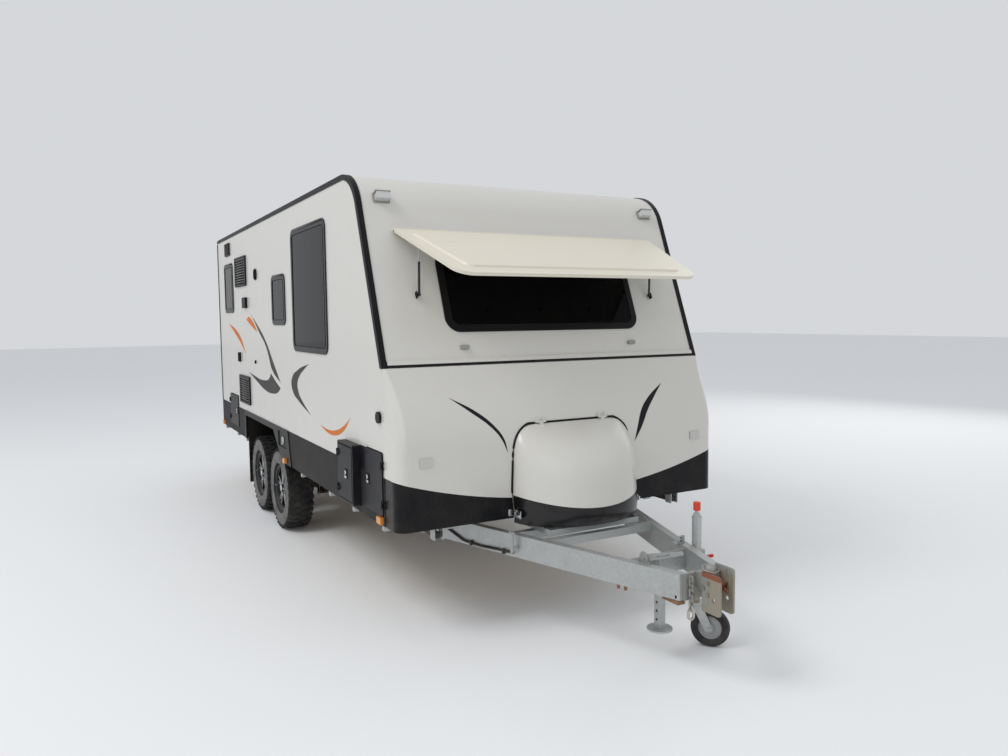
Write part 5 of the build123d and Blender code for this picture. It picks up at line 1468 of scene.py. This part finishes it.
def build_shield_pads():
    """Rubber pads under the free edge of the window shield."""
    tree = skin_of("window_shield")
    pads = bmesh.new()
    for y in SHIELD_PADS:
        spot, normal, _, _ = tree.ray_cast(at(3.16, y, 1.9), Vector((0, 0, 1)))
        add_rod(pads, spot - normal * 0.001, spot + normal * 0.010, 0.016, 20, 0.003)
    finish_piece("shield_pads", pads, "window_shield", "rubber")


# Roof, awning and rear


def build_roof_details():
    """Louvres of the air conditioner, seals round it and the hatches, cover strips and hatch ribs."""
    dark = bmesh.new()
    for row in range(LOUVRES):
        foot = ROOF_Z + 0.030 + row * LOUVRE_PITCH
        heights = (foot, foot + 0.008)
        for side in SIDES:
            add_flank(dark, side, (-0.700, 0.100), (0.3185, 0.3225), heights, 0.0015)
        add_flank(dark, 1, (0.2235, 0.2275), (-0.190, 0.190), heights, 0.0015)
    outlines = [(x - HATCH_HALF, x + HATCH_HALF, -HATCH_HALF, HATCH_HALF, 0.046) for x in HATCHES]
    for outline in (*outlines, COOLER_BOX):
        loop = rounded_loop(*outline)
        add_bead(dark, [at(x, y, ROOF_Z + 0.004) for x, y in loop], 0.006, True)
    finish_piece("roof_seals", dark, BODY, "rubber")
    strips = bmesh.new()
    for x in ROOF_SEAMS:
        span = (x - 0.014, x + 0.014)
        add_flank(strips, 1, span, (-1.188, 1.188), (ROOF_Z - 0.001, ROOF_Z + 0.002), 0.001)
        for count in range(ROOF_SCREWS):
            start = at(x, (count - (ROOF_SCREWS - 1) / 2) * SCREW_PITCH, ROOF_Z + 0.001)
            add_rod(strips, start, start + rise(0.0025), 0.005, 8)
    for x in HATCHES:
        for y in (-0.075, 0.075):
            offsets = (y - 0.008, y + 0.008)
            heights = (ROOF_Z + 0.070, ROOF_Z + 0.076)
            add_flank(strips, 1, (x - 0.130, x + 0.130), offsets, heights, 0.003)
    finish_piece("roof_strips", strips, BODY, "white_trim")


def build_awning_details():
    """End caps, arm slides, lock knobs and pins, and the seam of the rolled awning."""
    caps = bmesh.new()
    slides = bmesh.new()
    for x in AWNING_ARMS:
        for end in SIDES:
            start = at(x + end * 0.0195, AWNING_Y, AWNING_Z)
            add_rod(caps, start, start + Vector((end * 0.004, 0, 0)), 0.038, 32, 0.002)
        add_flank(slides, 1, (x - 0.008, x + 0.008), (1.2680, 1.2705), (1.10, 2.50), 0.0008)
        for z in (1.16, 1.85):
            add_peg(caps, 1, x, z, 1.269, 1.285, 0.016, 8, 0.003)
        for z in (1.055, 1.075):
            add_peg(slides, 1, x, z, 1.268, 1.272, 0.006, 12, 0.001)
    finish_piece("awning_caps", caps, BODY, "rubber")
    finish_piece("awning_slides", slides, BODY, "chrome")
    seam = bmesh.new()
    rear, front = AWNING_ARMS
    ends = (rear + 0.025, front - 0.025)
    add_bead(seam, [at(x, AWNING_Y + 0.030, AWNING_Z - 0.031) for x in ends], 0.004)
    finish_piece("awning_seam", seam, BODY, "white_trim")


def build_rear_details():
    """Blank plate on its holder with a lamp, bumper end caps, corner mouldings and reflectors."""
    plate = bmesh.new()
    x = REAR_X - 0.0005
    add_block(plate, at(x - 0.006, -0.836, 0.690), at(x - 0.003, -0.464, 0.824), 0.001)
    finish_piece("blank_plate", plate, BODY, "white_trim")
    dark = bmesh.new()
    add_block(dark, at(x - 0.004, -0.845, 0.681), at(x, -0.455, 0.833), 0.001)
    add_block(dark, at(x - 0.030, -0.690, 0.838), at(x, -0.610, 0.862), 0.004)
    corner = (SKIRT_TOP + 0.010, 2.750)
    for side in SIDES:
        add_flank(dark, side, (-2.904, -2.846), (1.148, 1.156), (0.499, 0.562), 0.003)
        span = (REAR_X - 0.005, REAR_X + 0.024)
        add_flank(dark, side, span, (HALF - 0.003, HALF + 0.005), corner, 0.002)
        span = (REAR_X - 0.005, REAR_X + 0.002)
        add_flank(dark, side, span, (HALF - 0.024, HALF + 0.004), corner, 0.002)
    finish_piece("rear_details", dark, BODY, "rubber")
    reflectors = bmesh.new()
    for side in SIDES:
        y = side * 0.90
        add_rod(reflectors, at(-2.899, y, 0.530), at(-2.906, y, 0.530), 0.022, 28, 0.002)
    finish_piece("rear_reflectors", reflectors, BODY, "lens")


# Chassis and drawbar


def build_chassis_bolts():
    """Bolts of the spring hangers, U-bolts with their nuts over the axles, and the tank straps."""
    bolts = bmesh.new()
    hub = middle_of("axles").z
    for side in SIDES:
        for x in HANGERS:
            for z in HANGER_BOLT_Z:
                add_peg(bolts, side, x, z, SPRING_Y + 0.037, SPRING_Y + 0.047, 0.013, 6, 0.0015)
        for x in AXLES:
            for along in (-0.034, 0.034):
                for across in (-0.035, 0.035):
                    spot = Vector((at(x + along, 0, 0).x, side * SPRING_Y + across, hub))
                    for top, foot, radius, sides in U_BOLTS:
                        add_rod(bolts, spot + rise(top), spot + rise(foot), radius, sides)
                crown = spot + rise(0.026)
                add_rod(bolts, crown, crown + Vector((0, -0.070, 0)), 0.006, 12)
    finish_piece("chassis_bolts", bolts, BODY, "zinc")
    straps = bmesh.new()
    for x in TANK_STRAPS:
        span = (x - 0.015, x + 0.015)
        add_flank(straps, 1, span, (-0.562, 0.562), (STRAP_Z, STRAP_Z + 0.003))
        for side in SIDES:
            add_flank(straps, side, span, (0.5595, 0.5625), (STRAP_Z, 0.540))
    finish_piece("tank_straps", straps, BODY, "zinc")


def build_coupling_details():
    """Bolts of the coupling, the latch between its cheeks, a rusty gusset, black discs of painted shade
    for holes, socket bracket.
    """
    bolts = bmesh.new()
    for side in SIDES:
        for x, z in CHEEK_BOLTS:
            add_peg(bolts, side, x, z, 0.0505, 0.0585, 0.011, 6, 0.001)
        for z in PLATE_BOLT_Z:
            start = at(BEAM_FRONT_X + 0.0115, side * 0.066, z)
            add_rod(bolts, start, start + Vector((0.008, 0, 0)), 0.010, 6, 0.001)
    finish_piece("coupling_bolts", bolts, BODY, "steel")
    latch = bmesh.new()
    lean = Matrix.Rotation(radians(35), 4, "Y")
    add_block(latch, at(4.500, 0.002, 0.430), at(4.512, 0.036, 0.490), 0.002, lean)
    add_rod(latch, at(4.510, -0.038, 0.455), at(4.510, 0.038, 0.455), 0.009, 20, 0.001)
    add_rod(latch, at(4.500, 0.018, 0.470), at(4.545, 0.018, 0.440), 0.007, 16, 0.001)
    finish_piece("jaw_latch", latch, BODY, "copper")
    gusset = bmesh.new()
    add_block(gusset, at(4.235, -0.150, 0.345), at(4.360, -0.100, 0.3735), 0.002)
    for x in (3.985, 4.030):
        y = 0.025 - beam_face(x)
        add_rod(gusset, at(x, y, 0.342), at(x, y, 0.374), 0.009, 12, 0.002)
    finish_piece("rusty_gusset", gusset, BODY, "rust")
    # The holes in the beam and the bracket are black discs: painted shade, as they are dark inside
    holes = bmesh.new()
    face = beam_face(4.345)
    add_peg(holes, -1, 4.345, 0.388, face - 0.004, face + 0.0006, 0.009, 20)
    x = BRACKET_X
    y = beam_face(3.93) - 0.060
    for z in (0.530, 0.548):
        add_rod(holes, at(x, y, z), at(x + 0.0005, y, z), 0.005, 16)
    finish_piece("dark_hole_shade", holes, BODY, "rubber")
    bracket = bmesh.new()
    offsets = (y - 0.028, y + 0.028)
    add_flank(bracket, 1, (x - 0.005, x), offsets, (0.512, 0.562), 0.001)
    add_flank(bracket, 1, (x - 0.051, x - 0.002), offsets, (0.5125, 0.5165), 0.001)
    finish_piece("socket_bracket", bracket, BODY, "zinc")


def build_jockey_clamp():
    """Clamp screw of the jockey wheel and its red handle."""
    screw = bmesh.new()
    x, z = CLAMP_X, CLAMP_Z
    add_rod(screw, at(x - 0.036, 0.318, z), at(x, 0.318, z), 0.007, 16, 0.001)
    finish_piece("clamp_screw", screw, BODY, "chrome")
    handle = bmesh.new()
    add_rod(handle, at(x, 0.290, z), at(x, 0.372, z), 0.010, 20, 0.004)
    finish_piece("clamp_handle", handle, BODY, "red")


def build_stand_hole_shade():
    """Row of pin holes down both faces of the drop stand, as black discs of painted shade."""
    x = middle_of("drop_stand").x
    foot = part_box("drop_stand")[0].z + 0.060
    holes = bmesh.new()
    for step in range(STAND_HOLES):
        for side in SIDES:
            start = Vector((x, side * 0.0215, foot + step * STAND_PITCH))
            add_rod(holes, start, start + Vector((0, side * 0.0008, 0)), 0.0075, 16)
    finish_piece("stand_hole_shade", holes, "drop_stand", "rubber")


# Mattress


def build_mattress():
    """Quilted mattress with piped edges and tufts, filling the CAD block."""
    low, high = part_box("mattress")
    size = high - low
    work = bmesh.new()
    slack = Vector((0.004, 0.004, 0.008))
    matrix = Matrix.Translation((low + high) / 2) @ Matrix.Diagonal((*(size - slack), 1))
    made = bmesh.ops.create_cube(work, size=1, matrix=matrix)["verts"]
    ease(work, edges_of(made), MATTRESS_EDGE, 5)
    for axis, length in ((Vector((1, 0, 0)), size.x), (Vector((0, 1, 0)), size.y)):
        for cut in range(1, int(length / QUILT_STEP)):
            bmesh.ops.bisect_plane(
                work,
                geom=list(work.verts) + list(work.edges) + list(work.faces),
                plane_co=low + axis * cut * QUILT_STEP,
                plane_no=axis,
            )
    for vert in work.verts:
        if vert.co.z > high.z - 0.010:
            along = sin((vert.co.x - low.x) * pi / TUFT_X)
            across = sin((vert.co.y - low.y) * pi / TUFT_Y)
            vert.co.z += 0.003 - 0.008 * (1 - abs(along * across))
    for z in (low.z + 0.012, high.z - 0.016):
        loop = rounded_loop(*drawn_in(low.x, high.x, low.y, high.y, MATTRESS_EDGE + 0.006, 0.006))
        add_bead(work, [(x, y, z) for x, y in loop], 0.005, True)
    piece = finish_piece("mattress_quilt", work, BODY, "cloth")
    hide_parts("mattress")


# Camera, light and floor


def build_camera():
    """Camera at the photograph's place and angle."""
    ahead = Vector(
        (
            -cos(CAMERA_YAW) * cos(CAMERA_PITCH),
            sin(CAMERA_YAW) * cos(CAMERA_PITCH),
            -sin(CAMERA_PITCH),
        )
    )
    right = ahead.cross(Vector((0, 0, 1))).normalized()
    up = right.cross(ahead)
    c, s = cos(CAMERA_ROLL), sin(CAMERA_ROLL)
    turned_right = c * right + s * up
    turned_up = -s * right + c * up
    data = bpy.data.cameras.new("photo_camera")
    data.sensor_width = SENSOR
    data.sensor_fit = "HORIZONTAL"
    data.lens = SENSOR * FOCAL_PIXELS / PHOTO_WIDTH
    data.clip_end = 200
    camera = bpy.data.objects.new("photo_camera", data)
    bpy.context.scene.collection.objects.link(camera)
    turn = Matrix((turned_right, turned_up, -ahead)).transposed()
    camera.matrix_world = Matrix.Translation(at(*CAMERA_PLACE)) @ turn.to_4x4()
    bpy.context.scene.camera = camera


def area_light(name, place, target, size, energy):
    """One soft lamp aimed at a point."""
    data = bpy.data.lights.new(name, "AREA")
    data.shape = "SQUARE"
    data.size = size
    data.energy = energy
    lamp = bpy.data.objects.new(name, data)
    bpy.context.scene.collection.objects.link(lamp)
    aim = (Vector(target) - Vector(place)).to_track_quat("-Z", "Y")
    lamp.matrix_world = Matrix.Translation(Vector(place)) @ aim.to_matrix().to_4x4()


def build_light():
    """Even pale light from the world, with three soft lamps on the object."""
    world = bpy.data.worlds.new("studio")
    world.use_nodes = True
    bpy.context.scene.world = world
    tree = world.node_tree
    tree.nodes.clear()
    wires = (("Color", (*SKY_COLOUR, 1)), ("Strength", SKY_STRENGTH))
    sky = put(tree, "ShaderNodeBackground", *wires)
    put(tree, "ShaderNodeOutputWorld", ("Surface", sky.outputs[0]))
    for lamp in LAMPS:
        area_light(*lamp)


def build_floor():
    """Plain pale floor."""
    mesh = bpy.data.meshes.new("floor")
    work = bmesh.new()
    bmesh.ops.create_grid(work, x_segments=1, y_segments=1, size=FLOOR_SIZE)
    work.to_mesh(mesh)
    work.free()
    floor = bpy.data.objects.new("floor", mesh)
    bpy.context.scene.collection.objects.link(floor)
    mesh.materials.append(Finish("pale_floor", FLOOR_COLOUR, 0.9).material)


dress_nodes()
build_wheels()
build_stripes()
build_window_seals()
build_locks()
build_entry()
build_lamp_housings()
build_vent_slat_highlights()
build_wall_details()
build_rivets()
build_pocket_latch()
build_locker_gasket()
build_toggle_latches()
build_bottle_valves()
build_shield_pads()
build_roof_details()
build_awning_details()
build_rear_details()
build_chassis_bolts()
build_coupling_details()
build_jockey_clamp()
build_stand_hole_shade()
build_mattress()
build_camera()
build_light()
build_floor()

bpy.context.scene.view_settings.view_transform = "Standard"
